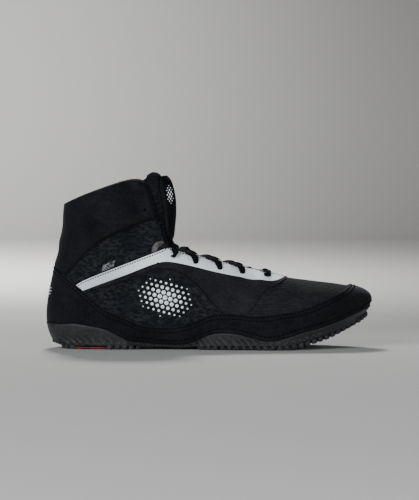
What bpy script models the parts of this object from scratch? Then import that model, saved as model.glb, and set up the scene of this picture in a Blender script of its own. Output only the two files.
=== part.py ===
"""Wrestling shoe for the right foot: a high soft bootee on a thin wavy rubber sole.

X runs from heel to toe, the outer (lateral) side is -Y and Z is up. Each rib of
the upper is a curve from the feather edge, where the sole starts, up to the top
line: the collar, then the throat. Every covering piece is cut between two edges
drawn in the side view and lies just outside that same surface.
"""

import math

import bmesh
import bpy
from mathutils import Vector

for thing in list(bpy.data.objects):
    bpy.data.objects.remove(thing, do_unlink=True)

# Driving sizes, in metres.
LENGTH = 0.285
COLLAR_HEIGHT = 0.1475
BALL_WIDTH = 0.097
WALL = 0.0022
GAP = 0.0004
TRIM_GAP = 0.0008
RUBBER = 0.0016
SHEET = 0.0009
LUG = 0.0024
GROOVE = 0.0022
SMALLEST_LUG = 0.000016
SHOULDER_OUT = 0.0012
INSOLE = 0.0030
TONGUE_GAP = 0.0008
FLAP = 0.0024
LACE_WIDTH = 0.0058
LACE_THICK = 0.0022

# Stations count ribs from the heel (0) to the toe (22). ABOVE_RUBBER is a share of
# a rib's length that the foxing stands clear of the rubber's top edge.
TOE = 22
ABOVE_RUBBER = 0.008

# Feather edge: station, share of LENGTH, lateral and medial shares of BALL_WIDTH.
FEATHER = [
    (0, 0.030, 0.000, 0.000),
    (1, 0.044, 0.124, 0.124),
    (2, 0.070, 0.211, 0.209),
    (3, 0.109, 0.268, 0.263),
    (5, 0.182, 0.299, 0.284),
    (7, 0.235, 0.299, 0.268),
    (9, 0.295, 0.301, 0.245),
    (11, 0.358, 0.309, 0.224),
    (13, 0.442, 0.340, 0.232),
    (15, 0.589, 0.428, 0.351),
    (17, 0.737, 0.452, 0.441),
    (18, 0.800, 0.412, 0.439),
    (19, 0.860, 0.340, 0.407),
    (20, 0.912, 0.247, 0.345),
    (21, 0.954, 0.103, 0.247),
    (22, 0.974, -0.082, 0.082),
]

# Top line: station, share of LENGTH, half opening in BALL_WIDTH, COLLAR_HEIGHT.
TOP_LINE = [
    (0, 0.062, 0.000, 0.850),
    (1, 0.070, 0.144, 0.857),
    (2, 0.093, 0.247, 0.878),
    (3, 0.131, 0.325, 0.909),
    (4, 0.180, 0.351, 0.942),
    (5, 0.232, 0.330, 0.976),
    (6, 0.272, 0.284, 0.994),
    (7, 0.302, 0.240, 0.992),
    (8, 0.316, 0.216, 0.952),
    (9, 0.329, 0.211, 0.864),
    (10, 0.344, 0.213, 0.769),
    (11, 0.361, 0.215, 0.668),
    (12, 0.382, 0.213, 0.592),
    (13, 0.424, 0.198, 0.566),
    (15, 0.548, 0.160, 0.504),
    (17, 0.664, 0.124, 0.448),
    (19, 0.723, 0.062, 0.419),
    (20, 0.731, 0.036, 0.414),
    (21, 0.734, 0.017, 0.412),
    (22, 0.735, 0.000, 0.411),
]

# Rib handles: station, lower one out and up, upper one out and down, as shares
# of BALL_WIDTH (out) and COLLAR_HEIGHT (up, down).
HANDLES = [
    (0, 0.206, 0.159, -0.024, 0.271),
    (2, 0.155, 0.180, 0.000, 0.285),
    (4, 0.100, 0.200, -0.020, 0.300),
    (7, 0.075, 0.200, -0.020, 0.300),
    (9, 0.070, 0.190, 0.040, 0.270),
    (11, 0.070, 0.160, 0.090, 0.180),
    (13, 0.075, 0.140, 0.130, 0.095),
    (15, 0.090, 0.150, 0.190, 0.055),
    (17, 0.100, 0.170, 0.270, 0.030),
    (19, 0.110, 0.170, 0.420, 0.030),
    (20, 0.140, 0.160, 0.500, 0.035),
    (21, 0.180, 0.155, 0.570, 0.040),
    (22, 0.206, 0.153, 0.604, 0.044),
]

# Ground: share of LENGTH, height of the tread and thickness of the sole plate.
GROUND = [
    (0.000, 0.000, 0.044),
    (0.260, 0.000, 0.044),
    (0.310, 0.007, 0.028),
    (0.380, 0.010, 0.017),
    (0.430, 0.006, 0.022),
    (0.490, 0.000, 0.040),
    (0.600, 0.000, 0.043),
    (0.735, 0.000, 0.043),
    (0.765, 0.011, 0.043),
    (0.807, 0.034, 0.043),
    (0.856, 0.063, 0.043),
    (0.902, 0.101, 0.043),
    (0.947, 0.144, 0.043),
    (1.000, 0.211, 0.043),
]

# Tread edge: station, how far it stands inside the feather edge, of BALL_WIDTH.
TREAD_EDGE = [
    (0, 0.052),
    (2, 0.020),
    (4, -0.002),
    (9, 0.000),
    (17, 0.004),
    (20, 0.015),
    (22, 0.030),
]

# Edges in the side view: shares of LENGTH and of COLLAR_HEIGHT.
SOLE_TOP = [
    (0.002, 0.165),
    (0.020, 0.150),
    (0.048, 0.148),
    (0.091, 0.155),
    (0.143, 0.139),
    (0.184, 0.124),
    (0.216, 0.093),
    (0.250, 0.050),
    (0.280, 0.012),
    (0.352, 0.000),
    (0.425, 0.005),
    (0.458, 0.042),
    (0.491, 0.083),
    (0.522, 0.102),
    (0.570, 0.102),
    (0.620, 0.081),
    (0.675, 0.053),
    (0.710, 0.056),
    (0.745, 0.078),
    (0.776, 0.101),
    (0.823, 0.123),
    (0.862, 0.145),
    (0.901, 0.174),
    (0.940, 0.210),
    (0.971, 0.241),
    (0.998, 0.268),
]
FOXING_TOP = [
    (0.015, 0.497),
    (0.037, 0.476),
    (0.062, 0.438),
    (0.078, 0.412),
    (0.096, 0.383),
    (0.121, 0.350),
    (0.135, 0.320),
    (0.152, 0.289),
    (0.164, 0.265),
    (0.184, 0.238),
    (0.217, 0.207),
    (0.251, 0.180),
    (0.290, 0.146),
    (0.332, 0.133),
    (0.383, 0.131),
    (0.420, 0.141),
    (0.451, 0.158),
    (0.478, 0.184),
    (0.500, 0.204),
    (0.523, 0.212),
    (0.590, 0.211),
    (0.618, 0.202),
    (0.642, 0.195),
    (0.673, 0.200),
    (0.722, 0.214),
    (0.771, 0.228),
    (0.811, 0.251),
    (0.845, 0.279),
    (0.895, 0.320),
    (0.928, 0.355),
    (0.940, 0.376),
    (0.948, 0.414),
]
STRIPE_TOP = [
    (0.076, 0.358),
    (0.097, 0.382),
    (0.160, 0.436),
    (0.227, 0.486),
    (0.300, 0.538),
    (0.345, 0.571),
    (0.370, 0.592),
    (0.413, 0.651),
]
STRIPE_LOW = [
    (0.076, 0.302),
    (0.123, 0.348),
    (0.195, 0.401),
    (0.265, 0.448),
    (0.318, 0.489),
    (0.353, 0.510),
    (0.376, 0.515),
    (0.406, 0.506),
    (0.459, 0.483),
    (0.511, 0.456),
    (0.588, 0.425),
    (0.647, 0.406),
    (0.688, 0.398),
    (0.710, 0.400),
    (0.725, 0.408),
    (0.737, 0.426),
]
PANEL_LOW = [
    (0.122, 0.308),
    (0.159, 0.346),
    (0.195, 0.367),
    (0.265, 0.405),
    (0.318, 0.446),
    (0.353, 0.464),
    (0.388, 0.462),
    (0.423, 0.435),
    (0.455, 0.388),
    (0.484, 0.333),
    (0.507, 0.280),
    (0.524, 0.236),
    (0.545, 0.221),
    (0.600, 0.220),
    (0.622, 0.231),
    (0.638, 0.282),
    (0.658, 0.333),
    (0.684, 0.364),
    (0.713, 0.382),
    (0.737, 0.410),
]
CUFF_LOW = [
    (0.015, 0.515),
    (0.037, 0.496),
    (0.062, 0.463),
    (0.079, 0.438),
    (0.089, 0.458),
    (0.097, 0.494),
    (0.118, 0.537),
    (0.142, 0.585),
    (0.177, 0.639),
    (0.212, 0.673),
    (0.265, 0.720),
    (0.318, 0.754),
    (0.342, 0.768),
    (0.370, 0.781),
]


def hermite(left, right, slope_left, slope_right, share, span):
    """Value between two knots of a smooth curve."""
    a = share * share * (3 - 2 * share)
    b = share * (1 - share) * (1 - share) * span
    c = share * share * (share - 1) * span
    return left * (1 - a) + right * a + slope_left * b + slope_right * c


def ring_curve(rows, lateral, medial):
    """Closed smooth curve through table rows: lateral stations count below zero."""
    knots = [(-row[0], lateral(row)) for row in reversed(rows[:-1])]
    knots = knots + [(row[0], medial(row)) for row in rows[1:]]
    places = [knots[-1][0] - 2 * TOE] + [knot[0] for knot in knots] + [knots[0][0] + 2 * TOE]
    values = [knots[-1][1]] + [knot[1] for knot in knots] + [knots[0][1]]
    slopes = [0.0] * len(places)
    for i in range(1, len(places) - 1):
        before = places[i] - places[i - 1]
        after = places[i + 1] - places[i]
        rise_before = (values[i] - values[i - 1]) / before
        rise_after = (values[i + 1] - values[i]) / after
        slopes[i] = (rise_before * after + rise_after * before) / (before + after)
    slopes[0] = slopes[-2]
    slopes[-1] = slopes[1]

    def value(station):
        at = station
        if at <= -TOE:
            at += 2 * TOE
        for i in range(len(places) - 1):
            if at <= places[i + 1]:
                span = places[i + 1] - places[i]
                share = (at - places[i]) / span
                return hermite(
                    values[i], values[i + 1], slopes[i], slopes[i + 1], share, span
                )
        return values[-1]

    return value


def edge_curve(rows, column):
    """Smooth curve along the shoe that never swings past its rows."""
    places = [row[0] for row in rows]
    values = [row[column] for row in rows]
    rises = [
        (values[i + 1] - values[i]) / (places[i + 1] - places[i])
        for i in range(len(rows) - 1)
    ]
    slopes = [rises[0]]
    for i in range(1, len(rows) - 1):
        if rises[i - 1] * rises[i] <= 0:
            slopes.append(0.0)
        else:
            slopes.append(2 * rises[i - 1] * rises[i] / (rises[i - 1] + rises[i]))
    slopes.append(rises[-1])

    def value(at):
        if at <= places[0]:
            return values[0] + slopes[0] * (at - places[0])
        for i in range(len(places) - 1):
            if at <= places[i + 1]:
                span = places[i + 1] - places[i]
                share = (at - places[i]) / span
                return hermite(
                    values[i], values[i + 1], slopes[i], slopes[i + 1], share, span
                )
        return values[-1] + slopes[-1] * (at - places[-1])

    return value


def side_edge(rows):
    """Height in metres of a side-view edge at a place along the shoe."""
    curve = edge_curve(rows, 1)
    return lambda x: curve(x / LENGTH) * COLLAR_HEIGHT


foot_x = ring_curve(FEATHER, lambda r: r[1] * LENGTH, lambda r: r[1] * LENGTH)
foot_y = ring_curve(FEATHER, lambda r: -r[2] * BALL_WIDTH, lambda r: r[3] * BALL_WIDTH)
top_x = ring_curve(TOP_LINE, lambda r: r[1] * LENGTH, lambda r: r[1] * LENGTH)
top_y = ring_curve(TOP_LINE, lambda r: -r[2] * BALL_WIDTH, lambda r: r[2] * BALL_WIDTH)
top_z = ring_curve(TOP_LINE, lambda r: r[3] * COLLAR_HEIGHT, lambda r: r[3] * COLLAR_HEIGHT)
low_out = ring_curve(HANDLES, lambda r: r[1] * BALL_WIDTH, lambda r: r[1] * BALL_WIDTH)
low_up = ring_curve(HANDLES, lambda r: r[2] * COLLAR_HEIGHT, lambda r: r[2] * COLLAR_HEIGHT)
high_out = ring_curve(HANDLES, lambda r: r[3] * BALL_WIDTH, lambda r: r[3] * BALL_WIDTH)
high_down = ring_curve(HANDLES, lambda r: r[4] * COLLAR_HEIGHT, lambda r: r[4] * COLLAR_HEIGHT)
tread_in = ring_curve(TREAD_EDGE, lambda r: r[1] * BALL_WIDTH, lambda r: r[1] * BALL_WIDTH)
tread_z = side_edge(GROUND)
plate_curve = edge_curve(GROUND, 2)
sole_top = side_edge(SOLE_TOP)
foxing_top = side_edge(FOXING_TOP)
stripe_top = side_edge(STRIPE_TOP)
stripe_low = side_edge(STRIPE_LOW)
panel_low = side_edge(PANEL_LOW)
cuff_low = side_edge(CUFF_LOW)


def plate(x):
    return plate_curve(x / LENGTH) * COLLAR_HEIGHT


def centre_shift(x):
    """The instep ridge leans to the medial side ahead of the ankle."""
    share = min(1.0, max(0.0, (x / LENGTH - 0.33) / 0.40))
    return 0.045 * BALL_WIDTH * share * share * (3 - 2 * share)


def outward(curve_x, curve_y, station):
    """Level direction pointing away from the middle of a plan curve."""
    step = 0.05
    dx = curve_x(station + step) - curve_x(station - step)
    dy = curve_y(station + step) - curve_y(station - step)
    return Vector((-dy, dx, 0.0)).normalized()


def wrap(station):
    """Brings a station back into the range from -TOE to TOE."""
    if station > TOE:
        return station - 2 * TOE
    if station < -TOE:
        return station + 2 * TOE
    return station


ribs = {}


def rib(station):
    """The four control points of one rib of the upper."""
    key = round(wrap(station), 5)
    if key not in ribs:
        x = foot_x(key)
        foot = Vector((x, foot_y(key), tread_z(x) + plate(x)))
        x = top_x(key)
        top = Vector((x, top_y(key) + centre_shift(x), top_z(key)))
        low = foot + outward(foot_x, foot_y, key) * low_out(key)
        low.z += low_up(key)
        high = top + outward(top_x, top_y, key) * high_out(key)
        high.z -= high_down(key)
        ribs[key] = (foot, low, high, top)
    return ribs[key]


def shell(station, t):
    """Outer surface of the upper, t from the feather edge (0) to the top line (1)."""
    foot, low, high, top = rib(station)
    s = 1 - t
    return foot * s**3 + low * (3 * s * s * t) + high * (3 * s * t * t) + top * t**3


def normal(station, t):
    """Direction straight out of the upper."""
    foot, low, high, top = rib(station)
    s = 1 - t
    up = (low - foot) * (s * s) + (high - low) * (2 * s * t) + (top - high) * (t * t)
    across = shell(station + 0.04, t) - shell(station - 0.04, t)
    return up.cross(across).normalized()


def facet(station, t):
    """Point on the flat facets of the upper, so that covering pieces clear them."""
    at = wrap(station)
    i = max(k for k in range(len(ORDER)) if ORDER[k] <= at + 1e-9)
    j = min(i + 1, len(ORDER) - 1)
    k = max(n for n in range(len(LEVELS)) if LEVELS[n] <= t + 1e-9)
    m = min(k + 1, len(LEVELS) - 1)
    across = 0.0 if i == j else (at - ORDER[i]) / (ORDER[j] - ORDER[i])
    up = 0.0 if k == m else (t - LEVELS[k]) / (LEVELS[m] - LEVELS[k])
    low = corner(i, k).lerp(corner(j, k), across)
    high = corner(i, m).lerp(corner(j, m), across)
    return low.lerp(high, up)


def corner(i, k):
    """Corner of the facets: rib i and level k."""
    if (i, k) not in corners_of_upper:
        corners_of_upper[(i, k)] = shell(ORDER[i], LEVELS[k])
    return corners_of_upper[(i, k)]


def skin(station, t, out):
    """Point at a distance outside the faceted surface of the upper."""
    return facet(station, t) + normal(station, t) * out


def height_share(station, edge, lowest=0.0):
    """The share t at which a rib crosses a side-view edge, going up."""
    steps = 60
    before = lowest
    for i in range(1, steps + 1):
        t = lowest + (1 - lowest) * i / steps
        point = shell(station, t)
        if point.z >= edge(point.x):
            high = t
            for _ in range(20):
                middle = (before + high) / 2
                point = shell(station, middle)
                if point.z >= edge(point.x):
                    high = middle
                else:
                    before = middle
            return high
        before = t
    return 1.0


def even_stations(count):
    """Stations spaced evenly round the shoe, heel to toe, on one side."""
    fine = 440
    lengths = [0.0]
    for i in range(fine):
        here = TOE * i / fine
        there = TOE * (i + 1) / fine
        low = (shell(there, 0.15) - shell(here, 0.15)).length
        high = (shell(there, 0.85) - shell(here, 0.85)).length
        lengths.append(lengths[-1] + low + high)
    stations = [0.0]
    at = 0
    for k in range(1, count):
        target = lengths[-1] * k / count
        while lengths[at + 1] < target:
            at += 1
        share = (target - lengths[at]) / (lengths[at + 1] - lengths[at])
        stations.append(TOE * (at + share) / fine)
    stations.append(float(TOE))
    return stations


def round_shoe(count):
    """Stations of a whole ring: heel, medial side, toe, lateral side."""
    half = even_stations(count)
    return half + [-station for station in reversed(half[1:-1])]


def paint(name, colour, rough):
    material = bpy.data.materials.new(name)
    material.use_nodes = True
    shader = material.node_tree.nodes["Principled BSDF"]
    shader.inputs["Base Color"].default_value = (*colour, 1.0)
    shader.inputs["Roughness"].default_value = rough
    material.diffuse_color = (*colour, 1.0)
    return material


def add_object(name, bm, material, smooth_angle=40):
    """Turns a bmesh into a part, centred over the origin with its faces outward."""
    bmesh.ops.recalc_face_normals(bm, faces=bm.faces)
    mesh = bpy.data.meshes.new(name)
    bm.to_mesh(mesh)
    bm.free()
    mesh.materials.append(material)
    for polygon in mesh.polygons:
        polygon.use_smooth = True
    mesh.set_sharp_from_angle(angle=math.radians(smooth_angle))
    part = bpy.data.objects.new(name, mesh)
    bpy.context.scene.collection.objects.link(part)
    return part


def add_points(bm, points):
    return [bm.verts.new(point) for point in points]


def bridge(bm, one, other, closed):
    """Quads between two rows of vertices."""
    faces = []
    count = len(one) if closed else len(one) - 1
    for i in range(count):
        j = (i + 1) % len(one)
        corners = [one[i], one[j], other[j], other[i]]
        corners = list(dict.fromkeys(corners))
        if len(corners) > 2:
            faces.append(bm.faces.new(corners))
    return faces


def mirror_row(bm, points):
    """One vertex for each pair across a ring, so that the ring closes on a line."""
    half = len(points) // 2
    single = [bm.verts.new(points[i]) for i in range(half + 1)]
    return single + [single[len(points) - i] for i in range(half + 1, len(points))]


def ladder(bm, stations, low_t, high_t, out):
    """Rows of vertices over the facets of the upper, held between two edges.

    Each rib keeps the levels of the upper that fall between its two edges, and
    rows outside them share the edge's own vertex.
    """
    rows = [[] for level in LEVELS]
    lows = []
    highs = []
    for station, low, high in zip(stations, low_t, high_t):
        first = bm.verts.new(skin(station, low, out))
        last = bm.verts.new(skin(station, high, out))
        lows.append(first)
        highs.append(last)
        for row, level in zip(rows, LEVELS):
            if level <= low + 0.018:
                row.append(first)
            elif level >= high - 0.018:
                row.append(last)
            else:
                row.append(bm.verts.new(skin(station, level, out)))
    return [lows] + rows + [highs]


def column(rows, end):
    """The vertices of one end rib, each once."""
    return list(dict.fromkeys(row[end] for row in rows))


def band(name, material, stations, low_t, high_t, inner, outer, closed=False):
    """A thin closed sheet over the upper between two shares of each rib."""
    bm = bmesh.new()
    below = ladder(bm, stations, low_t, high_t, inner)
    above = ladder(bm, stations, low_t, high_t, outer)
    for rows in (below, above):
        for one, other in zip(rows, rows[1:]):
            bridge(bm, one, other, closed)
    bridge(bm, below[0], above[0], closed)
    bridge(bm, below[-1], above[-1], closed)
    if not closed:
        for end in (0, -1):
            bridge(bm, column(below, end), column(above, end), False)
    return add_object(name, bm, material)


def ribs_between(first, last):
    """Stations of the upper's ribs between two stations, with both ends added."""
    inside = [s for s in ORDER if first + 0.12 < s < last - 0.12]
    return [first] + inside + [last]


SUEDE = (0.010, 0.011, 0.014)
MESH_CLOTH = (0.022, 0.024, 0.030)

upper_cloth = paint("upper_mesh", MESH_CLOTH, 0.85)
rubber_grey = paint("sole_rubber", (0.040, 0.042, 0.047), 0.6)
rubber_red = paint("heel_rubber_red", (0.28, 0.015, 0.018), 0.55)
lining = paint("insole_lining", (0.030, 0.031, 0.034), 0.9)
tongue_cloth = paint("tongue_cloth", (0.018, 0.019, 0.023), 0.9)
suede_cuff = paint("cuff_suede", SUEDE, 0.8)
suede_foxing = paint("foxing_suede", SUEDE, 0.8)
suede_panel = paint("panel_suede", SUEDE, 0.8)
flap_cloth = paint("flap_smooth", (0.008, 0.009, 0.011), 0.6)
stripe_film = paint("stripe_reflective", (0.62, 0.66, 0.71), 0.35)
lace_cord = paint("lace_cord", (0.012, 0.012, 0.014), 0.8)
tag_woven = paint("tag_woven", (0.05, 0.05, 0.055), 0.8)

# Upper: outer and inner skins joined at the feather edge and at a rounded rim.
RIM_STEP = 0.02
RIBS = round_shoe(33)
ORDER = [-float(TOE)] + sorted(RIBS)
LEVELS = [0.0, 0.07, 0.14, 0.22, 0.31, 0.42, 0.54, 0.66, 0.78, 0.89, 1.0]
corners_of_upper = {}
bm = bmesh.new()
outer = [add_points(bm, [skin(s, t, 0.0) for s in RIBS]) for t in LEVELS]
inner = [add_points(bm, [skin(s, t, -WALL) for s in RIBS]) for t in LEVELS]
rim_line = []
for s in RIBS:
    up_rib = (skin(s, 1.0, 0.0) - skin(s, 1 - RIM_STEP, 0.0)).normalized()
    rim_line.append(skin(s, 1.0, -WALL / 2) + up_rib * WALL * 0.35)
rim = add_points(bm, rim_line)
for row in range(len(LEVELS) - 1):
    bridge(bm, outer[row], outer[row + 1], True)
    bridge(bm, inner[row], inner[row + 1], True)
bridge(bm, outer[0], inner[0], True)
bridge(bm, outer[-1], rim, True)
bridge(bm, rim, inner[-1], True)
add_object("upper", bm, upper_cloth, 50)


# Outsole: one ring of profiles from the tread line inward, up the side wall,
# over its wavy top edge and down to the plate under the foot.
def spine(station, z_of):
    """Middle line of the sole, which every ring of the sole shrinks to."""
    share = abs(station) / TOE
    x = foot_x(abs(station))
    x = x + (0.095 - x / LENGTH) * LENGTH * max(0.0, 1 - share / 0.16)
    x = x - 0.085 * LENGTH * max(0.0, (share - 0.80) / 0.20)
    middle = (foot_y(abs(station)) + foot_y(-abs(station))) / 2
    if share > 0.8:
        target = 0.082 * BALL_WIDTH
        middle = middle + (target - middle) * (share - 0.8) / 0.2
    return Vector((x, middle, z_of(x)))


def tread_point(station):
    foot = rib(station)[0]
    point = foot - outward(foot_x, foot_y, wrap(station)) * tread_in(wrap(station))
    point.z = tread_z(point.x)
    return point


wall_top = {}
for s in RIBS:
    foot = rib(s)[0]
    wall_top[s] = 0.0 if foot.z >= sole_top(foot.x) else height_share(s, sole_top)
    wall_top[s] = max(wall_top[s], 0.012)


def base_z(x):
    """Underside of the rubber between the lugs."""
    lift = tread_z(x)
    bare = 0.30 < x / LENGTH < 0.455
    return lift + (0.0 if bare else LUG)


def lerp_row(edge, shares, z_of):
    """Rows of points from a ring in to the spine."""
    rows = []
    for share in shares:
        row = []
        for station, point in zip(RIBS, edge):
            middle = spine(station, z_of)
            inside = point + (middle - point) * share
            inside.z = z_of(inside.x)
            row.append(inside)
        rows.append(row)
    return rows


def plate_z(x):
    """Top of the sole plate, a gap below the upper's feather edge."""
    return tread_z(x) + plate(x) - GAP


bm = bmesh.new()
tread_edge = [tread_point(s) for s in RIBS]
for point in tread_edge:
    point.z = base_z(point.x)
under_rows = lerp_row(tread_edge, (0.24, 0.48, 0.74), base_z)
feather_in = [skin(s, 0.0, GAP) for s in RIBS]
for s, point in zip(RIBS, feather_in):
    point.z = rib(s)[0].z - GAP
plate_rows = lerp_row(feather_in, (0.50,), plate_z)

middle_low = mirror_row(bm, [spine(s, base_z) for s in RIBS])
middle_high = mirror_row(bm, [spine(s, plate_z) for s in RIBS])
rings = [middle_low]
for row in reversed(under_rows):
    rings.append(add_points(bm, row))
rings.append(add_points(bm, tread_edge))
shoulder = []
for s, low in zip(RIBS, tread_edge):
    high = skin(s, 0.0, GAP + RUBBER)
    shoulder.append(low * 0.45 + high * 0.55 + outward(foot_x, foot_y, s) * SHOULDER_OUT)
rings.append(add_points(bm, shoulder))
for share in (0.0, 0.5, 1.0):
    rings.append(add_points(bm, [skin(s, wall_top[s] * share, GAP + RUBBER) for s in RIBS]))
wall_in = ladder(bm, RIBS, [0.0 for s in RIBS], [wall_top[s] for s in RIBS], GAP)
for vert, point in zip(wall_in[0], feather_in):
    vert.co = point
rings = rings + list(reversed(wall_in))
for row in plate_rows:
    rings.append(add_points(bm, row))
rings.append(middle_high)
tread_faces = []
for i in range(len(rings) - 1):
    faces = bridge(bm, rings[i], rings[i + 1], True)
    if i < 4:
        tread_faces = tread_faces + faces
red_cells = []
lug_faces = []
for face in tread_faces:
    middle = face.calc_center_median()
    share = middle.x / LENGTH
    if 0.300 < share < 0.460 or face.calc_area() < SMALLEST_LUG:
        continue
    if 0.090 < share < 0.205 and middle.y < 0.0:
        red_cells.append([Vector(v.co) for v in face.verts])
        continue
    lug_faces.append(face)
bmesh.ops.recalc_face_normals(bm, faces=bm.faces)
bmesh.ops.inset_individual(bm, faces=lug_faces, thickness=GROOVE / 2, depth=0.0, use_even_offset=False)
for face in lug_faces:
    for vert in face.verts:
        vert.co.z = tread_z(vert.co.x)
add_object("outsole", bm, rubber_grey, 30)

# Red tread pad on the lateral half of the heel, with the same lugs.
bm = bmesh.new()
corners = {}
cells = []
for cell in red_cells:
    row = []
    for point in cell:
        key = (round(point.x, 6), round(point.y, 6))
        if key not in corners:
            corners[key] = bm.verts.new((point.x, point.y, LUG - GAP))
        row.append(corners[key])
    cells.append(bm.faces.new(row))
made = bmesh.ops.extrude_face_region(bm, geom=cells, use_keep_orig=True)
lower = [item for item in made["geom"] if isinstance(item, bmesh.types.BMFace)]
for vert in {v for face in lower for v in face.verts}:
    vert.co.z = LUG * 0.45
bmesh.ops.recalc_face_normals(bm, faces=bm.faces)
bmesh.ops.inset_individual(bm, faces=lower, thickness=GROOVE / 2, depth=0.0, use_even_offset=False)
for face in lower:
    for vert in face.verts:
        vert.co.z = 0.0
add_object("heel_insert", bm, rubber_red, 30)

# Insole: a thin footbed a hair inside the upper, resting on the plate.
bm = bmesh.new()
inside_gap = -(WALL + GAP)
low_ring = []
high_ring = []
for s in RIBS:
    floor = rib(s)[0].z
    low_t = 0.0
    high_t = 0.3
    for step in range(20):
        t = (low_t + high_t) / 2
        if skin(s, t, inside_gap).z < floor + INSOLE:
            low_t = t
        else:
            high_t = t
    high_ring.append(skin(s, high_t, inside_gap))
    point = skin(s, 0.0, inside_gap) - outward(foot_x, foot_y, s) * SHOULDER_OUT
    point.z = floor + GAP * 0.5
    low_ring.append(point)


def insole_low(x):
    return tread_z(x) + plate(x) + GAP * 0.5


def insole_high(x):
    return tread_z(x) + plate(x) + INSOLE


rings = [mirror_row(bm, [spine(s, insole_low) for s in RIBS])]
rings.append(add_points(bm, low_ring))
rings.append(add_points(bm, high_ring))
middle = [p + (spine(s, insole_high) - p) * 0.5 for s, p in zip(RIBS, high_ring)]
rings.append(add_points(bm, middle))
rings.append(mirror_row(bm, [spine(s, insole_high) for s in RIBS]))
for i in range(len(rings) - 1):
    bridge(bm, rings[i], rings[i + 1], True)
add_object("insole", bm, lining, 40)

# Foxing: heel counter, side band and mudguard, one ring above the rubber.
low_t = []
high_t = []
for s in RIBS:
    low_t.append(wall_top[s] + ABOVE_RUBBER)
    high_t.append(height_share(s, foxing_top))
band("foxing", suede_foxing, RIBS, low_t, high_t, GAP, GAP + SHEET, closed=True)

# Cuff: from the collar down to the arched seam, open at the front of the shaft.
cuff_ribs = ribs_between(-10.4, 10.4)
low_t = [height_share(s, cuff_low) for s in cuff_ribs]
high_t = [0.992 for s in cuff_ribs]
band("cuff", suede_cuff, cuff_ribs, low_t, high_t, GAP, GAP + SHEET)

# Stripe along the eyestay and back down the quarter, with the panel under it.
for side, name in ((-1, "lateral"), (1, "medial")):
    stations = ribs_between(-19.6, -3.6) if side < 0 else ribs_between(3.6, 19.6)
    low_t = []
    high_t = []
    panel_t = []
    for s in stations:
        low = height_share(s, stripe_low)
        high = min(0.994, height_share(s, stripe_top))
        low_t.append(min(low, high - 0.012))
        high_t.append(high)
        panel_t.append(min(height_share(s, panel_low), low_t[-1] - 0.02))
    band("stripe_" + name, stripe_film, stations, low_t, high_t, TRIM_GAP, TRIM_GAP + SHEET)
    seam = [t - 0.006 for t in low_t]
    band("panel_" + name, suede_panel, stations, panel_t, seam, TRIM_GAP, TRIM_GAP + SHEET)

# Plain woven tag standing on the lateral stripe's upper edge.
tag_ribs = ribs_between(-5.25, -4.35)
low_t = [height_share(s, stripe_top) + 0.010 for s in tag_ribs]
high_t = [t + 0.038 for t in low_t]
band("side_tag", tag_woven, tag_ribs, low_t, high_t, GAP, GAP + SHEET)

# Tongue under the throat. Rows: front station, side station, share of the side's
# rib (0 means level with the front), ridge share of LENGTH and COLLAR_HEIGHT, pad.
TONGUE = [
    (18.8, 18.8, 0.86, 0.715, 0.396, 0.0030),
    (17.5, 17.5, 0.87, 0.680, 0.430, 0.0035),
    (16.0, 16.0, 0.87, 0.609, 0.467, 0.0040),
    (14.5, 14.5, 0.87, 0.519, 0.510, 0.0042),
    (13.2, 13.2, 0.87, 0.434, 0.555, 0.0045),
    (12.2, 12.2, 0.90, 0.392, 0.586, 0.0048),
    (11.4, 10.2, 0.00, 0.386, 0.625, 0.0050),
    (10.6, 9.2, 0.00, 0.384, 0.695, 0.0052),
    (9.8, 8.2, 0.00, 0.388, 0.780, 0.0054),
    (8.9, 7.2, 0.00, 0.388, 0.872, 0.0056),
    (8.1, 6.4, 0.00, 0.384, 0.945, 0.0058),
]

# Tongue above the collar: side, middle and front points, each a share of LENGTH,
# half width of BALL_WIDTH and share of COLLAR_HEIGHT, then ridge and pad.
TONGUE_TOP = [
    ((0.304, 0.196, 1.004), (0.311, 0.186, 1.014), (0.319, 0.172, 1.020), 0.374, 1.014, 0.0060),
    ((0.318, 0.160, 1.030), (0.325, 0.146, 1.036), (0.333, 0.125, 1.039), 0.356, 1.034, 0.0050),
]
tongue_in = -(WALL + TONGUE_GAP)
VAMP_DEPTH = 0.0022


def side_row(points, ridge_x, ridge_z):
    """A row across the tongue from its lateral points, the ridge and its medial ones."""
    lateral, medial = points
    middle = (lateral[2] + medial[2]) / 2
    ridge = Vector((ridge_x * LENGTH, middle.y, ridge_z * COLLAR_HEIGHT))
    half = (medial[2] - lateral[2]) / 2
    rise = ridge - middle
    row = list(lateral)
    for angle in (-60, -30, 0, 30, 60):
        turn = math.radians(angle)
        row.append(middle + half * math.sin(turn) + rise * math.cos(turn))
    return row + list(reversed(medial))


rows = []
pads = []
vamp_row = [(20.2, 0.84), (20.5, 0.88), (20.8, 0.91), (21.1, 0.925), (21.5, 0.93)]
row = [skin(-s, t, tongue_in - VAMP_DEPTH) for s, t in vamp_row]
row = row + [skin(TOE, 0.93, tongue_in - VAMP_DEPTH)]
rows.append(row + [skin(s, t, tongue_in - VAMP_DEPTH) for s, t in reversed(vamp_row)])
pads.append(0.0024)
for front, beside, share, ridge_x, ridge_z, pad in TONGUE:
    pair = []
    for sign in (-1, 1):
        near = skin(sign * front, 1.0, tongue_in)
        t = share
        if share == 0.0:
            level = top_z(front)
            t = height_share(sign * beside, lambda x, z=level: z)
        far = skin(sign * beside, t, tongue_in)
        between = sign * (front + beside) / 2
        middle_t = (1.0 + t) / 2
        if share == 0.0:
            middle_t = height_share(between, lambda x, z=level: z)
        middle = skin(between, middle_t, tongue_in)
        pair.append([far, middle, near])
    rows.append(side_row(pair, ridge_x, ridge_z))
    pads.append(pad)
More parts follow.
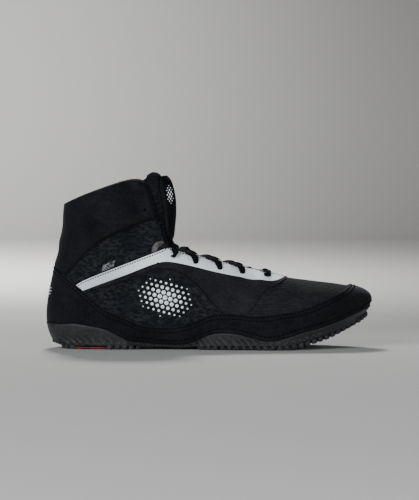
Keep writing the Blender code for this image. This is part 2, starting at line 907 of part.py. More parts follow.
for side, middle, front, ridge_x, ridge_z, pad in TONGUE_TOP:
    pair = []
    for sign in (-1, 1):
        trio = []
        for along, half, up in (side, middle, front):
            trio.append(Vector((along * LENGTH, sign * half * BALL_WIDTH, up * COLLAR_HEIGHT)))
        pair.append(trio)
    rows.append(side_row(pair, ridge_x, ridge_z))
    pads.append(pad)


def grid_normals(rows):
    """Outward directions at the points of a grid of rows."""
    result = []
    for i, row in enumerate(rows):
        line = []
        for j in range(len(row)):
            along = rows[min(i + 1, len(rows) - 1)][j] - rows[max(i - 1, 0)][j]
            across = row[min(j + 1, len(row) - 1)] - row[max(j - 1, 0)]
            line.append(across.cross(along).normalized())
        result.append(line)
    return result


def slab(name, material, rows, normals, outers, inners):
    """A closed sheet between two offsets of a grid, one pair of offsets per row."""
    bm = bmesh.new()
    above = []
    below = []
    for row, line, out, into in zip(rows, normals, outers, inners):
        above.append(add_points(bm, [p + n * out for p, n in zip(row, line)]))
        below.append(add_points(bm, [p + n * into for p, n in zip(row, line)]))
    for layer in (above, below):
        for one, other in zip(layer, layer[1:]):
            bridge(bm, one, other, False)
    bridge(bm, above[0], below[0], False)
    bridge(bm, above[-1], below[-1], False)
    for end in (0, -1):
        bridge(bm, [row[end] for row in above], [row[end] for row in below], False)
    return add_object(name, bm, material, 60)


tongue_rows = rows
tongue_normals = grid_normals(rows)
slab("tongue", tongue_cloth, rows, tongue_normals, [0.0] * len(rows), [-pad for pad in pads])

# Lace cover wrapped round the tongue's front, from the ankle bend to its top.
flap_rows = [row[3:8] for row in tongue_rows[7:-1]]
flap_normals = [row[3:8] for row in tongue_normals[7:-1]]
count = len(flap_rows)
slab("tongue_flap", flap_cloth, flap_rows, flap_normals, [GAP + FLAP] * count, [GAP] * count)

# Eyelets on the stripes: shares of LENGTH and COLLAR_HEIGHT in the side view.
EYELETS = [
    (0.678, 0.431),
    (0.603, 0.453),
    (0.534, 0.479),
    (0.460, 0.516),
    (0.393, 0.553),
]


def locate(x_share, z_share, side):
    """Station and share of the rib that a side-view point lies on."""
    best = (1.0, 0.0, 0.0)
    for i in range(80):
        for j in range(30):
            station = side * (11.0 + 9.0 * i / 79)
            t = 0.70 + 0.30 * j / 29
            point = shell(station, t)
            miss = math.hypot(point.x - x_share * LENGTH, point.z - z_share * COLLAR_HEIGHT)
            if miss < best[0]:
                best = (miss, station, t)
    return best[1], best[2]


def strand(bm, path, ups):
    """A flat oval lace along a path, its flat side facing the given directions."""
    rings = []
    for i, point in enumerate(path):
        ahead = path[min(i + 1, len(path) - 1)] - path[max(i - 1, 0)]
        side = ahead.cross(ups[i]).normalized()
        up = side.cross(ahead).normalized()
        ring = []
        for angle in (0, 60, 120, 180, 240, 300):
            turn = math.radians(angle)
            wide = side * math.cos(turn) * LACE_WIDTH / 2
            thick = up * math.sin(turn) * LACE_THICK / 2
            ring.append(point + wide + thick)
        rings.append(add_points(bm, ring))
    for one, other in zip(rings, rings[1:]):
        bridge(bm, one, other, True)
    bm.faces.new(rings[0])
    bm.faces.new(rings[-1])


def crossing_path(start, finish, side):
    """From an eyelet on one side over the throat to the far edge."""
    lift = TRIM_GAP + SHEET + GAP + LACE_THICK / 2
    from_s, from_t = locate(*start, side)
    to_s, to_t = locate(*finish, -side)
    edge = from_s + (abs(to_s) - abs(from_s)) * side * 0.30
    far = to_s + (abs(from_s) - abs(to_s)) * -side * 0.42
    begin = skin(from_s, from_t, lift)
    over = skin(edge, 0.985, lift + 0.0012)
    end = skin(far, 1.0, 0.0030)
    middle = (top_point(edge) + top_point(far)) / 2
    middle.z += 0.0052
    end.y += side * 0.0062
    path = [begin, begin.lerp(over, 0.5) + Vector((0, 0, 0.0006)), over]
    path = path + [over.lerp(middle, 0.5) + Vector((0, 0, 0.0008)), middle, end]
    ups = [normal(from_s, from_t), normal(edge, 0.95), (normal(edge, 0.95) + Vector((0, 0, 2)))]
    ups = ups + [Vector((0, 0, 1))] * 3
    return path, ups


def top_point(station):
    return rib(station)[3]


def join(one, other):
    """Unites two crossing strands into one solid."""
    modifier = one.modifiers.new("join", "BOOLEAN")
    modifier.operation = "UNION"
    modifier.solver = "EXACT"
    modifier.object = other
    graph = bpy.context.evaluated_depsgraph_get()
    mesh = bpy.data.meshes.new_from_object(one.evaluated_get(graph))
    one.modifiers.clear()
    one.data = mesh
    bpy.data.objects.remove(other, do_unlink=True)


for i in range(4):
    pieces = []
    for side in (-1, 1):
        bm = bmesh.new()
        path, ups = crossing_path(EYELETS[i], EYELETS[i + 1], side)
        strand(bm, path, ups)
        name = "lace_crossing_%d" % (i + 1) if side < 0 else "strand"
        pieces.append(add_object(name, bm, lace_cord, 60))
    join(pieces[0], pieces[1])

# Lowest bar across the throat and the top run that goes round under the flap.
bm = bmesh.new()
s, t = locate(*EYELETS[0], 1)
left = top_point(-s)
right = top_point(s)
bar = [left.lerp(right, share) for share in (0.18, 0.5, 0.82)]
strand(bm, bar, [Vector((0, 0, 1))] * 3)
add_object("lace_bar", bm, lace_cord, 60)

bm = bmesh.new()
path = []
ups = []
lift = TRIM_GAP + SHEET + GAP + LACE_THICK / 2
row = tongue_rows[6]
line = tongue_normals[6]
for side in (-1, 1):
    s, t = locate(*EYELETS[4], side)
    run = [(skin(s, t, lift + 0.0008), normal(s, t))]
    run.append((skin(s, 0.975, lift + 0.0030), normal(s, 0.96)))
    for j in (3, 4):
        k = j if side < 0 else len(row) - 1 - j
        run.append((row[k] + line[k] * (LACE_THICK / 2 + 0.0022), line[k]))
    if side < 0:
        run.append((row[5] + line[5] * (LACE_THICK / 2 + 0.0022), line[5]))
        first = run
    else:
        first = first + list(reversed(run))
strand(bm, [p for p, n in first], [n for p, n in first])
add_object("lace_top", bm, lace_cord, 60)

# Put the shoe's box over the origin with the tread on the floor.
low = Vector((1.0, 1.0, 1.0))
high = Vector((-1.0, -1.0, -1.0))
for part in bpy.data.objects:
    for vert in part.data.vertices:
        low = Vector(map(min, low, vert.co))
        high = Vector(map(max, high, vert.co))
shift = Vector((-(low.x + high.x) / 2, -(low.y + high.y) / 2, -low.z))
for part in bpy.data.objects:
    for vert in part.data.vertices:
        vert.co += shift
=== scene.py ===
import math

import bmesh
import bpy
from mathutils import Matrix, Vector
from mathutils.bvhtree import BVHTree


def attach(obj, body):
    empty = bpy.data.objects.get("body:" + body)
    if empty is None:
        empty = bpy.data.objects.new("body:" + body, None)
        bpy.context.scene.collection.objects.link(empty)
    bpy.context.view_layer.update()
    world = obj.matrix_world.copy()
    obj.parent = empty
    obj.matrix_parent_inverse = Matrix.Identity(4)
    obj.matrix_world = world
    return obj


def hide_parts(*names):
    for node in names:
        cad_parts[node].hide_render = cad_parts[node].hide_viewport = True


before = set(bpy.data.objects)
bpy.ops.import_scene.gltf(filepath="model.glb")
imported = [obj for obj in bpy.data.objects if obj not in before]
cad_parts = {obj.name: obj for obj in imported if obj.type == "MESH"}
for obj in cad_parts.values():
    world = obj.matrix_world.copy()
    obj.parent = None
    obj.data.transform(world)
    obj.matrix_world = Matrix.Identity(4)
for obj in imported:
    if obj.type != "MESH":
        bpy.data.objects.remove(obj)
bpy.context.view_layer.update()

# Camera: a long lens a little above the floor, level with the ankle, that looks
# square at the outer side of the shoe, with the toe to the right.
CAMERA_AWAY = 3.0
CAMERA_TILT = math.radians(2.0)
SEEN_HEIGHT = 0.4363
SEEN_MIDDLE = Vector((0.0009, 0.0, 0.0851))

camera_data = bpy.data.cameras.new("camera")
camera_data.sensor_fit = "VERTICAL"
camera_data.sensor_height = 36.0
camera_data.lens = 36.0 * CAMERA_AWAY / SEEN_HEIGHT
camera = bpy.data.objects.new("camera", camera_data)
bpy.context.scene.collection.objects.link(camera)
toward = Vector((0.0, -math.cos(CAMERA_TILT), math.sin(CAMERA_TILT)))
camera.location = SEEN_MIDDLE + toward * CAMERA_AWAY
camera.rotation_euler = (math.pi / 2 - CAMERA_TILT, 0.0, 0.0)
bpy.context.scene.camera = camera


# Studio: one long sheet of pale paper that is the floor and curves up at both ends,
# behind the shoe and behind the camera. Its grey is painted deeper behind the shoe to
# the right and up the wall: painted shade, in place of the fall of the light.
class Wire:
    """A number socket of a finish, on which sums and products can be written."""

    def __init__(self, finish, socket):
        self.finish = finish
        self.socket = socket

    def maths(self, operation, first, second):
        return self.finish.node("ShaderNodeMath", {"operation": operation}, {0: first, 1: second})

    def __add__(self, other):
        return self.maths("ADD", self, other)

    def __sub__(self, other):
        return self.maths("SUBTRACT", self, other)

    def __rsub__(self, other):
        return self.maths("SUBTRACT", other, self)

    def __mul__(self, other):
        return self.maths("MULTIPLY", self, other)

    def __abs__(self):
        return self.maths("ABSOLUTE", self, 0.0)

    def wave(self):
        """Sine of this value, in radians."""
        return self.maths("SINE", self, 0.0)

    def clear_above(self, low, high):
        """0 below low, 1 above high and smooth between them."""
        return self.finish.node(
            "ShaderNodeMapRange",
            {"interpolation_type": "SMOOTHSTEP", "clamp": True},
            {0: self, 1: low, 2: high, 3: 0.0, 4: 1.0},
        )


class Finish:
    """A procedural material on one Principled shader, and the nodes behind it."""

    def __init__(self, name, roughness=0.8, specular=0.5, sheen=0.0, sheen_tint=(1, 1, 1), coat=0.0):
        self.material = bpy.data.materials.new(name)
        self.material.use_nodes = True
        self.tree = self.material.node_tree
        self.shader = self.tree.nodes["Principled BSDF"]
        values = {
            "Roughness": roughness,
            "Specular IOR Level": specular,
            "Sheen Weight": sheen,
            "Sheen Roughness": 0.45,
            "Sheen Tint": (*sheen_tint, 1.0),
            "Coat Weight": coat,
            "Coat Roughness": 0.25,
        }
        for socket, value in values.items():
            self.shader.inputs[socket].default_value = value

    def node(self, kind, settings=None, sockets=None, out=0):
        """One node: its settings first, then the values or wires of its sockets."""
        made = self.tree.nodes.new(kind)
        for key, value in (settings or {}).items():
            setattr(made, key, value)
        for key, value in (sockets or {}).items():
            if isinstance(value, Wire):
                self.tree.links.new(value.socket, made.inputs[key])
            else:
                made.inputs[key].default_value = value
        return Wire(self, made.outputs[out])

    def place(self, scale=(1.0, 1.0, 1.0)):
        """Object coordinates in metres, scaled."""
        where = self.node("ShaderNodeTexCoord", out=3)
        return self.node("ShaderNodeMapping", {}, {0: where, 3: scale})

    def axes(self, where):
        """The three coordinates of a place."""
        split = self.tree.nodes.new("ShaderNodeSeparateXYZ")
        self.tree.links.new(where.socket, split.inputs[0])
        return [Wire(self, split.outputs[i]) for i in range(3)]

    def noise(self, size, detail=3.0, roughness=0.55, where=None):
        """Soft noise whose grains are about this size, in metres."""
        where = where or self.place()
        return self.node(
            "ShaderNodeTexNoise",
            {},
            {"Vector": where, "Scale": 1.0 / size, "Detail": detail, "Roughness": roughness},
        )

    def blend(self, mask, first, second):
        """A colour that goes from first to second as the mask goes from 0 to 1."""
        return self.node("ShaderNodeMix", {"data_type": "RGBA"}, {0: mask, 6: first, 7: second}, out=2)

    def use(self, **wires):
        """Joins wires to the shader's sockets, named with _ for a space."""
        for name, wire in wires.items():
            self.tree.links.new(wire.socket, self.shader.inputs[name.replace("_", " ").title()])
        return self

    def relief(self, height, depth, strength=1.0, under=None):
        """A bump of this depth in metres, over another one if there is one."""
        sockets = {"Strength": strength, "Distance": depth, "Height": height}
        if under:
            sockets["Normal"] = under
        return self.node("ShaderNodeBump", {}, sockets)


PAPER_SIZE = 9.0
PAPER_MIDDLE = (0.0, -1.5, 0.0)
CURVE_STEPS = 8

paper = Finish("studio_paper", roughness=0.95, specular=0.05)
paper_x, paper_y, paper_z = paper.axes(paper.place())
# Painted shade: the paper is painted darker to the right, behind the shoe and up the wall.
paper_painted_shade = paper_x.clear_above(-0.45, 0.50) * paper_y.clear_above(-0.05, 0.35)
paper_shade_and_mottle = paper_painted_shade * 0.85 + paper_z.clear_above(0.10, 0.80) * 0.30 + paper.noise(0.9, 2.0) * 0.1
paper.use(base_color=paper.blend(paper_shade_and_mottle, (0.520, 0.518, 0.508, 1), (0.220, 0.218, 0.214, 1)))

bpy.ops.object.select_all(action="DESELECT")
bpy.ops.mesh.primitive_plane_add(size=1.0, location=PAPER_MIDDLE)
floor = bpy.context.object
floor.name = "studio_paper"
bpy.ops.object.mode_set(mode="EDIT")
bpy.ops.transform.resize(value=(PAPER_SIZE, PAPER_SIZE, 1.0), center_override=PAPER_MIDDLE)
bpy.ops.object.mode_set(mode="OBJECT")
bpy.ops.object.transform_apply(location=True, rotation=True, scale=True)
for way in (1, -1):
    bpy.ops.object.mode_set(mode="EDIT")
    bpy.context.tool_settings.mesh_select_mode = (False, True, False)
    bpy.ops.mesh.select_all(action="DESELECT")
    bpy.ops.object.mode_set(mode="OBJECT")
    end = max(vert.co.y * way for vert in floor.data.vertices)
    for edge in floor.data.edges:
        edge.select = all(floor.data.vertices[i].co.y * way > end - 0.01 for i in edge.vertices)
    bpy.ops.object.mode_set(mode="EDIT")
    for step in range(CURVE_STEPS):
        turn = math.radians(90.0 * (step + 0.5) / CURVE_STEPS)
        bpy.ops.mesh.extrude_region_move(
            TRANSFORM_OT_translate={"value": (0.0, 0.16 * way * math.cos(turn), 0.16 * math.sin(turn))}
        )
    bpy.ops.mesh.extrude_region_move(TRANSFORM_OT_translate={"value": (0.0, 0.0, 2.4)})
    bpy.context.tool_settings.mesh_select_mode = (True, False, False)
    bpy.ops.object.mode_set(mode="OBJECT")
bpy.ops.object.shade_smooth()
floor.data.materials.append(paper.material)

# Light: a small box above and behind, which lays the shadow under the shoe and in
# front of it, a large one from the front left, a weak fill from the front right and
# a lamp at the left that lights the paper behind.
LAMPS = [
    ("top_box", (-0.15, 1.20, 1.20), (0.0, -0.05, 0.0), 0.3, 28.0, (1.0, 0.995, 0.98)),
    ("key_box", (-1.35, -2.20, 0.85), (0.0, 0.0, 0.07), 1.2, 58.0, (0.98, 0.99, 1.0)),
    ("front_fill", (1.0, -2.3, 0.50), (0.0, 0.0, 0.06), 1.2, 20.0, (0.95, 0.98, 1.0)),
    ("paper_lamp", (-0.90, 1.30, 1.10), (-0.45, 3.30, 0.12), 0.8, 84.0, (1.0, 0.99, 0.97)),
]
for name, place, aim, width, watts, colour in LAMPS:
    lamp_data = bpy.data.lights.new(name, "AREA")
    lamp_data.shape = "SQUARE"
    lamp_data.size = width
    lamp_data.energy = watts
    lamp_data.color = colour
    lamp = bpy.data.objects.new(name, lamp_data)
    bpy.context.scene.collection.objects.link(lamp)
    lamp.location = place
    lamp.rotation_euler = (Vector(aim) - Vector(place)).to_track_quat("-Z", "Y").to_euler()
    lamp.visible_camera = False
world = bpy.data.worlds.new("studio_air")
bpy.context.scene.world = world
world.use_nodes = True
world.node_tree.nodes["Background"].inputs["Color"].default_value = (0.90, 0.95, 1.0, 1.0)
world.node_tree.nodes["Background"].inputs["Strength"].default_value = 0.13

# Body of the upper: an open-knit mesh backed with foam and a smooth lining, closed
# at the heel and pulled down round the sole. The toe is knitted in clear rows.
CORE_LINE = [(-0.088, 0.0, 0.155), (-0.085, 0.0, 0.072), (-0.062, 0.0, 0.042), (0.096, 0.003, 0.026)]


def pick(*pieces):
    """Selects these pieces alone, the first one active."""
    bpy.ops.object.select_all(action="DESELECT")
    for piece in pieces:
        piece.select_set(True)
    bpy.context.view_layer.objects.active = pieces[0]


def shape(piece, kind, **settings):
    """Adds a modifier to a piece, applies it and shades the piece smooth."""
    modifier = piece.modifiers.new(kind.lower(), kind)
    for key, value in settings.items():
        setattr(modifier, key, value)
    pick(piece)
    bpy.ops.object.modifier_apply(modifier=modifier.name)
    bpy.ops.object.shade_smooth()


def copy_node(node, name):
    """A merged copy of a CAD node as a new piece, with its triangles paired."""
    piece = bpy.data.objects.new(name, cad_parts[node].data.copy())
    bpy.context.scene.collection.objects.link(piece)
    piece.data.materials.clear()
    pick(piece)
    bpy.ops.object.mode_set(mode="EDIT")
    bpy.ops.mesh.select_all(action="SELECT")
    bpy.ops.mesh.remove_doubles(threshold=0.00001)
    bpy.ops.mesh.tris_convert_to_quads(face_threshold=math.radians(70), shape_threshold=math.radians(150))
    bpy.ops.mesh.normals_make_consistent(inside=False)
    bpy.ops.mesh.mark_sharp(clear=True)
    bpy.ops.object.mode_set(mode="OBJECT")
    bpy.ops.mesh.customdata_custom_splitnormals_clear()
    bpy.ops.object.shade_smooth()
    return piece


def outward(point):
    """Direction away from the line that runs down the leg and along the foot."""
    best = None
    for start, end in zip(CORE_LINE, CORE_LINE[1:]):
        start = Vector(start)
        along = Vector(end) - start
        share = min(1.0, max(0.0, (point - start).dot(along) / along.length_squared))
        away = point - start - along * share
        if best is None or away.length < best.length:
            best = away
    return best.normalized()


def surface_of(*pieces):
    """A search tree over the faces of some pieces."""
    points = []
    faces = []
    for piece in pieces:
        start = len(points)
        points += [vert.co.copy() for vert in piece.data.vertices]
        faces += [[start + i for i in face.vertices] for face in piece.data.polygons]
    return BVHTree.FromPolygons(points, faces)


def knit_finish(name, row, dark, light, window):
    """Mesh cloth: staggered holes in rows along the shoe; the toe is painted lighter below its top (painted
    light).
    """
    knit = Finish(name, roughness=0.92, specular=0.05, sheen=0.02)
    x, y, z = knit.axes(knit.place())
    up = z * 0.65 - abs(y) * 0.75
    rows = up * (2 * math.pi / row)
    loops = x * (2 * math.pi / 0.0021)
    threads = loops.wave() * rows.wave() * 0.5 + 0.5
    flecks = knit.noise(0.0030, 2.0, 0.6, knit.place(scale=(0.7, 1.0, 1.4))).clear_above(0.42, 0.62)
    cloudy = knit.noise(0.016, 4.0, 0.6).clear_above(0.38, 0.66)
    fibre = knit.noise(0.0011, 2.0)
    front = x.clear_above(0.020, 0.045)
    ribs = rows.wave() * 0.5 + 0.5
    bright = threads * 0.25 + flecks * 0.60 + fibre * 0.15
    bright = bright * (1 - front * 0.60) + ribs * threads * front * 0.35
    # Painted light: at the toe the knit is painted lighter below its top, so that the top, which gets more
    # light, looks no brighter.
    bright = bright + front * (1 - z.clear_above(0.046, 0.060)) * 0.24
    tone = knit.blend(bright, dark, light)
    tone = knit.blend(cloudy * (1 - front) * 0.60, tone, window)
    height = threads * 0.6 + flecks * 0.5 + ribs * front * 0.8 + fibre * 0.4
    knit.use(base_color=tone, normal=knit.relief(height, 0.00035, 0.8))
    return knit


body_knit = knit_finish(
    "body_knit", 0.0023, (0.0026, 0.0031, 0.0041, 1), (0.0280, 0.0300, 0.0340, 1), (0.0066, 0.0080, 0.0116, 1)
)

lining = Finish("smooth_lining", roughness=0.9, specular=0.12, sheen=0.15)
lining_loops = lining.noise(0.0011, 2.0)
lining_shade = lining.noise(0.03, 2.0)
lining.use(
    base_color=lining.blend(lining_shade, (0.010, 0.0105, 0.012, 1), (0.020, 0.021, 0.023, 1)),
    normal=lining.relief(lining_loops, 0.0003, 0.6),
)

creased = []


def dress(piece, *finishes, node=None, slot=None, bends=True):
    """Gives a piece its materials and its place in the frame; what bends is creased."""
    for finish in finishes:
        piece.data.materials.append(finish.material)
    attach(piece, "root")
    if node:
        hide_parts(node)
    if bends:
        creased.append(piece)


body = copy_node("upper", "upper_body")
shape(body, "SUBSURF", levels=2, render_levels=2)
dress(body, body_knit, lining, node="upper", slot="upper_mesh")
for face in body.data.polygons:
    face.material_index = 0 if face.normal.dot(outward(face.center)) > -0.15 else 1
body_surface = surface_of(body)

# Foxing: one band of suede from the heel counter along the side to the toe guard,
# glued and sewn over the mesh with a double row at its top and one above the sole.
ROUND_OFF = 0.0003


def suede_finish(name, dark, light, scuff):
    """Brushed suede: soft clouds, a short nap and faint rubbed places."""
    suede = Finish(name, roughness=0.9, specular=0.08, sheen=0.06, sheen_tint=(0.8, 0.86, 1.0))
    clouds = suede.noise(0.020, 4.0)
    nap = suede.noise(0.0020, 3.0, 0.7)
    brushed = suede.noise(0.006, 3.0, 0.6, suede.place(scale=(0.5, 1.0, 1.6)))
    rubbed = (suede.noise(0.045, 5.0, 0.7) * 0.7 + brushed * 0.5).clear_above(0.62, 0.82)
    tone = suede.blend((clouds * 0.5 + nap * 0.7).clear_above(0.38, 0.82), dark, light)
    tone = suede.blend(rubbed * 0.5, tone, scuff)
    height = nap * 0.9 + brushed * 1.1
    suede.use(
        base_color=tone,
        roughness=0.97 - clouds * 0.14,
        normal=suede.relief(height, 0.00030, 0.7),
    )
    return suede


suede_black = suede_finish(
    "black_suede", (0.0036, 0.0039, 0.0050, 1), (0.0102, 0.0108, 0.0131, 1), (0.0180, 0.0186, 0.0210, 1)
)


def outer_skin(piece, moves=None):
    """Keeps the outer skin of a thin closed piece, with an edge moved where asked."""
    bm = bmesh.new()
    bm.from_mesh(piece.data)
    inner = [face for face in bm.faces if face.normal.dot(outward(face.calc_center_median())) < 0.5]
    bmesh.ops.delete(bm, geom=inner, context="FACES")
    loose = [vert for vert in bm.verts if not vert.link_faces]
    bmesh.ops.delete(bm, geom=loose, context="VERTS")
    if moves:
        moves(bm)
    bm.to_mesh(piece.data)
    bm.free()


def edge_away(vert):
    """Direction from the inside of a sheet to a point on its edge, or None."""
    if not vert.is_boundary:
        return None
    inside = [edge.other_vert(vert) for edge in vert.link_edges if not edge.is_boundary]
    if not inside:
        return None
    middle = sum((other.co for other in inside), Vector()) / len(inside)
    return (vert.co - middle).normalized()


def lay_sheet(node, name, slot, lift, thick, finish, moves=None, corners="ALL", trim=None):
    """A sheet over the body, in the outline of a CAD node."""
    piece = copy_node(node, name)
    outer_skin(piece, moves)
    shape(piece, "SUBSURF", levels=2, render_levels=2, boundary_smooth=corners)
    if trim:
        trim(piece)
    nearest = "NEAREST_SURFACEPOINT"
    shape(piece, "SHRINKWRAP", target=body, wrap_method=nearest, wrap_mode="ABOVE_SURFACE", offset=lift)
    face_out(piece)
    sheets[name] = (surface_of(piece), edge_points(piece))
    shape(piece, "SOLIDIFY", thickness=thick, offset=1.0, use_even_offset=False, use_rim=True)
    shape(piece, "BEVEL", width=ROUND_OFF, segments=2, limit_method="ANGLE", angle_limit=math.radians(50))
    dress(piece, finish, node=node, slot=slot)
    return piece


def face_out(piece):
    """Turns all faces of an open sheet to the outside of the shoe."""
    votes = sum(1 if face.normal.dot(outward(face.center)) > 0 else -1 for face in piece.data.polygons)
    if votes < 0:
        piece.data.flip_normals()


def edge_points(piece):
    """The open edges of a sheet as runs of (point, direction to the inside)."""
    bm = bmesh.new()
    bm.from_mesh(piece.data)
    open_edges = {edge for edge in bm.edges if edge.is_boundary}
    runs = []
    while open_edges:
        edge = min(open_edges, key=lambda e: e.index)
        open_edges.remove(edge)
        line = [edge.verts[0], edge.verts[1]]
        while True:
            follow = [e for e in line[-1].link_edges if e in open_edges]
            if not follow:
                break
            open_edges.remove(follow[0])
            line.append(follow[0].other_vert(line[-1]))
        run = []
        for i, vert in enumerate(line):
            middle = sum((f.calc_center_median() for f in vert.link_faces), Vector()) / len(vert.link_faces)
            along = (line[min(i + 1, len(line) - 1)].co - line[max(i - 1, 0)].co).normalized()
            inside = middle - vert.co
            inside = (inside - along * inside.dot(along)).normalized()
            run.append((vert.co.copy(), inside))
        runs.append(run)
    bm.free()
    return runs


sheets = {}
foxing = lay_sheet("foxing", "foxing_band", "foxing_suede", 0.0006, 0.0010, suede_black)

# Eyestay panel: a greyer suede below the stripe, tucked under the stripe at its top and
# under the foxing where it comes down between the side window and the toe.
def tuck_panel(bm):
    """Lengthens the panel's top and low edges so that they lie under their neighbours."""
    moves = []
    for vert in bm.verts:
        away = edge_away(vert)
        if away is None:
            continue
        if away.z > 0.2:
            moves.append((vert, away * 0.0022))
        elif away.z < -0.2 and 0.008 < vert.co.x < 0.040 and vert.co.z < 0.040:
            moves.append((vert, Vector((0.0, 0.0, -0.0050))))
    for vert, move in moves:
        vert.co += move


panel_suede = suede_finish(
    "panel_suede", (0.0068, 0.0073, 0.0092, 1), (0.0195, 0.0205, 0.0240, 1), (0.0330, 0.0340, 0.0380, 1)
)
panels = []
for side in ("lateral", "medial"):
    name = "eyestay_panel_" + side
    panels.append(lay_sheet("panel_" + side, name, "panel_suede", 0.0002, 0.0007, panel_suede, tuck_panel))

# Cuff: the soft suede collar that holds the ankle, sewn over the mesh along an
# arched seam and open at the front, where the tongue stands.
def tuck_cuff(bm):
    """Takes the cuff's low edge down under the top of the heel counter."""
    moves = []
    for vert in bm.verts:
        away = edge_away(vert)
        if away is not None and away.z < -0.2 and vert.co.x < -0.1185:
            moves.append((vert, away * 0.0045))
    for vert, move in moves:
        vert.co += move


cuff = lay_sheet("cuff", "ankle_cuff", "cuff_suede", 0.0004, 0.0011, suede_black, tuck_cuff)

# Stripe: a reflective silver film on a thin backing, from the heel up along the
# quarter and down the eyestay. The laces go through its punched holes.
film = Finish("silver_film", roughness=0.42, specular=0.55, coat=0.15)
film_grain = film.noise(0.0009, 2.0)
film_shade = film.noise(0.030, 4.0)
film_rubbed = film.noise(0.0065, 5.0, 0.7).clear_above(0.62, 0.80)
# Painted highlight: the film is painted lighter from the middle of the shoe forward, where the stripe bends
# down the eyestay and catches the light.
film_painted_highlight = film.axes(film.place())[0].clear_above(-0.110, -0.050)
film_mottle_and_highlight = film_painted_highlight * 0.75 + film_shade * 0.5 - 0.15
film_tone = film.blend(film_mottle_and_highlight, (0.54, 0.60, 0.68, 1), (0.88, 0.94, 0.97, 1))
film.use(
    base_color=film.blend(film_rubbed * 0.25, film_tone, (0.50, 0.54, 0.60, 1)),
    roughness=film_grain * 0.20 + 0.34,
    normal=film.relief(film_grain, 0.00008, 0.5),
)
STRIPE_END = [(-0.1150, 0.0570), (-0.1078, 0.0520)]


def reach_back(bm):
    """Takes the stripe's heel end back along its own slope, past the counter's edge."""
    rear = min(vert.co.x for vert in bm.verts)
    ends = [vert for vert in bm.verts if vert.co.x < rear + 0.004]
    top = max(vert.co.z for vert in ends)
    low = min(vert.co.z for vert in ends)
    for vert in ends:
        share = (top - vert.co.z) / (top - low)
        vert.co.x = -0.1215 + 0.0030 * share
        vert.co.z = 0.0543 - 0.0069 * share


def cut_end(piece):
    """Cuts the stripe's heel end on the slant of the counter's edge."""
    (first_x, first_z), (last_x, last_z) = STRIPE_END
    pick(piece)
    bpy.ops.object.mode_set(mode="EDIT")
    bpy.ops.mesh.select_all(action="SELECT")
    bpy.ops.mesh.bisect(
        plane_co=(first_x, 0.0, first_z), plane_no=(first_z - last_z, 0.0, last_x - first_x), clear_inner=True
    )
    bpy.ops.object.mode_set(mode="OBJECT")


stripes = []
for side in ("lateral", "medial"):
    name = "silver_stripe_" + side
    ends = (reach_back, "PRESERVE_CORNERS", cut_end)
    stripes.append(lay_sheet("stripe_" + side, name, "stripe_reflective", 0.0006, 0.0006, film, *ends))


# Binding: a thin rolled tape round the collar's edge, over the cuff and the lining.
def sweep(name, path, widths, thicks, ups, sides=10, closed=False):
    """A rounded band along a path, each ring with its own width and thickness."""
    bm = bmesh.new()
    rings = []
    for i, point in enumerate(path):
        ahead = path[min(i + 1, len(path) - 1)] - path[max(i - 1, 0)]
        across = ahead.cross(ups[i]).normalized()
        up = across.cross(ahead).normalized()
        ring = []
        for k in range(sides):
            turn = 2 * math.pi * k / sides
            place = point + across * (math.cos(turn) * widths[i] / 2) + up * (math.sin(turn) * thicks[i] / 2)
            ring.append(bm.verts.new(place))
        rings.append(ring)
    for one, other in zip(rings, rings[1:]):
        for k in range(sides):
            j = (k + 1) % sides
            bm.faces.new((one[k], one[j], other[j], other[k]))
    bm.faces.new(rings[0])
    bm.faces.new(rings[-1])
    bmesh.ops.recalc_face_normals(bm, faces=bm.faces)
    mesh = bpy.data.meshes.new(name)
    bm.to_mesh(mesh)
    bm.free()
    piece = bpy.data.objects.new(name, mesh)
    bpy.context.scene.collection.objects.link(piece)
    pick(piece)
    bpy.ops.object.shade_smooth()
    return piece


def smooth_path(points, count):
    """A curve through points, given evenly by its length."""
    dense = []
    for i in range(len(points) - 1):
        a = points[max(i - 1, 0)]
        b = points[i]
        c = points[i + 1]
        d = points[min(i + 2, len(points) - 1)]
        for k in range(12):
            t = k / 12
            slope = (c - a) * t
            bend = (a * 2 - b * 5 + c * 4 - d) * t * t
            twist = (b * 3 - a - c * 3 + d) * t * t * t
            dense.append((b * 2 + slope + bend + twist) * 0.5)
    dense.append(points[-1].copy())
    return even_path(dense, count)


def even_path(dense, count):
    """Points at equal distances along a line."""
    lengths = [0.0]
    for one, other in zip(dense, dense[1:]):
        lengths.append(lengths[-1] + (other - one).length)
    result = []
    at = 0
    for k in range(count):
        target = lengths[-1] * k / (count - 1)
        while at < len(lengths) - 2 and lengths[at + 1] < target:
            at += 1
        span = max(1e-9, lengths[at + 1] - lengths[at])
        result.append(dense[at].lerp(dense[at + 1], min(1.0, (target - lengths[at]) / span)))
    return result


def path_length(path):
    return sum((b - a).length for a, b in zip(path, path[1:]))


def edge_runs(name, wanted):
    """Pieces of a sheet's edges whose (point, inside direction) are wanted."""
    runs = []
    for run in sheets[name][1]:
        flags = [wanted(point, inside) for point, inside in run]
        if all(flags):
            runs.append(run)
            continue
        start = flags.index(False)
        turned = run[start:] + run[:start]
        current = []
        for item in turned:
            if wanted(*item):
                current.append(item)
            elif current:
                runs.append(current)
                current = []
        if current:
            runs.append(current)
    return [run for run in runs if len(run) > 4]


collar_run = max(edge_runs("ankle_cuff", lambda p, inside: inside.z < -0.6 and p.z > 0.115), key=len)
collar_line = [point + inside * -0.0003 - outward(point) * 0.0012 for point, inside in collar_run]
collar_line = even_path(collar_line, 110)
binding = sweep(
    "collar_binding",
    collar_line,
    [0.0046] * len(collar_line),
    [0.0034] * len(collar_line),
    [outward(point).cross(Vector((0, 0, 1))).cross(outward(point)) * -1 for point in collar_line],
    12,
)
dress(binding, suede_black)

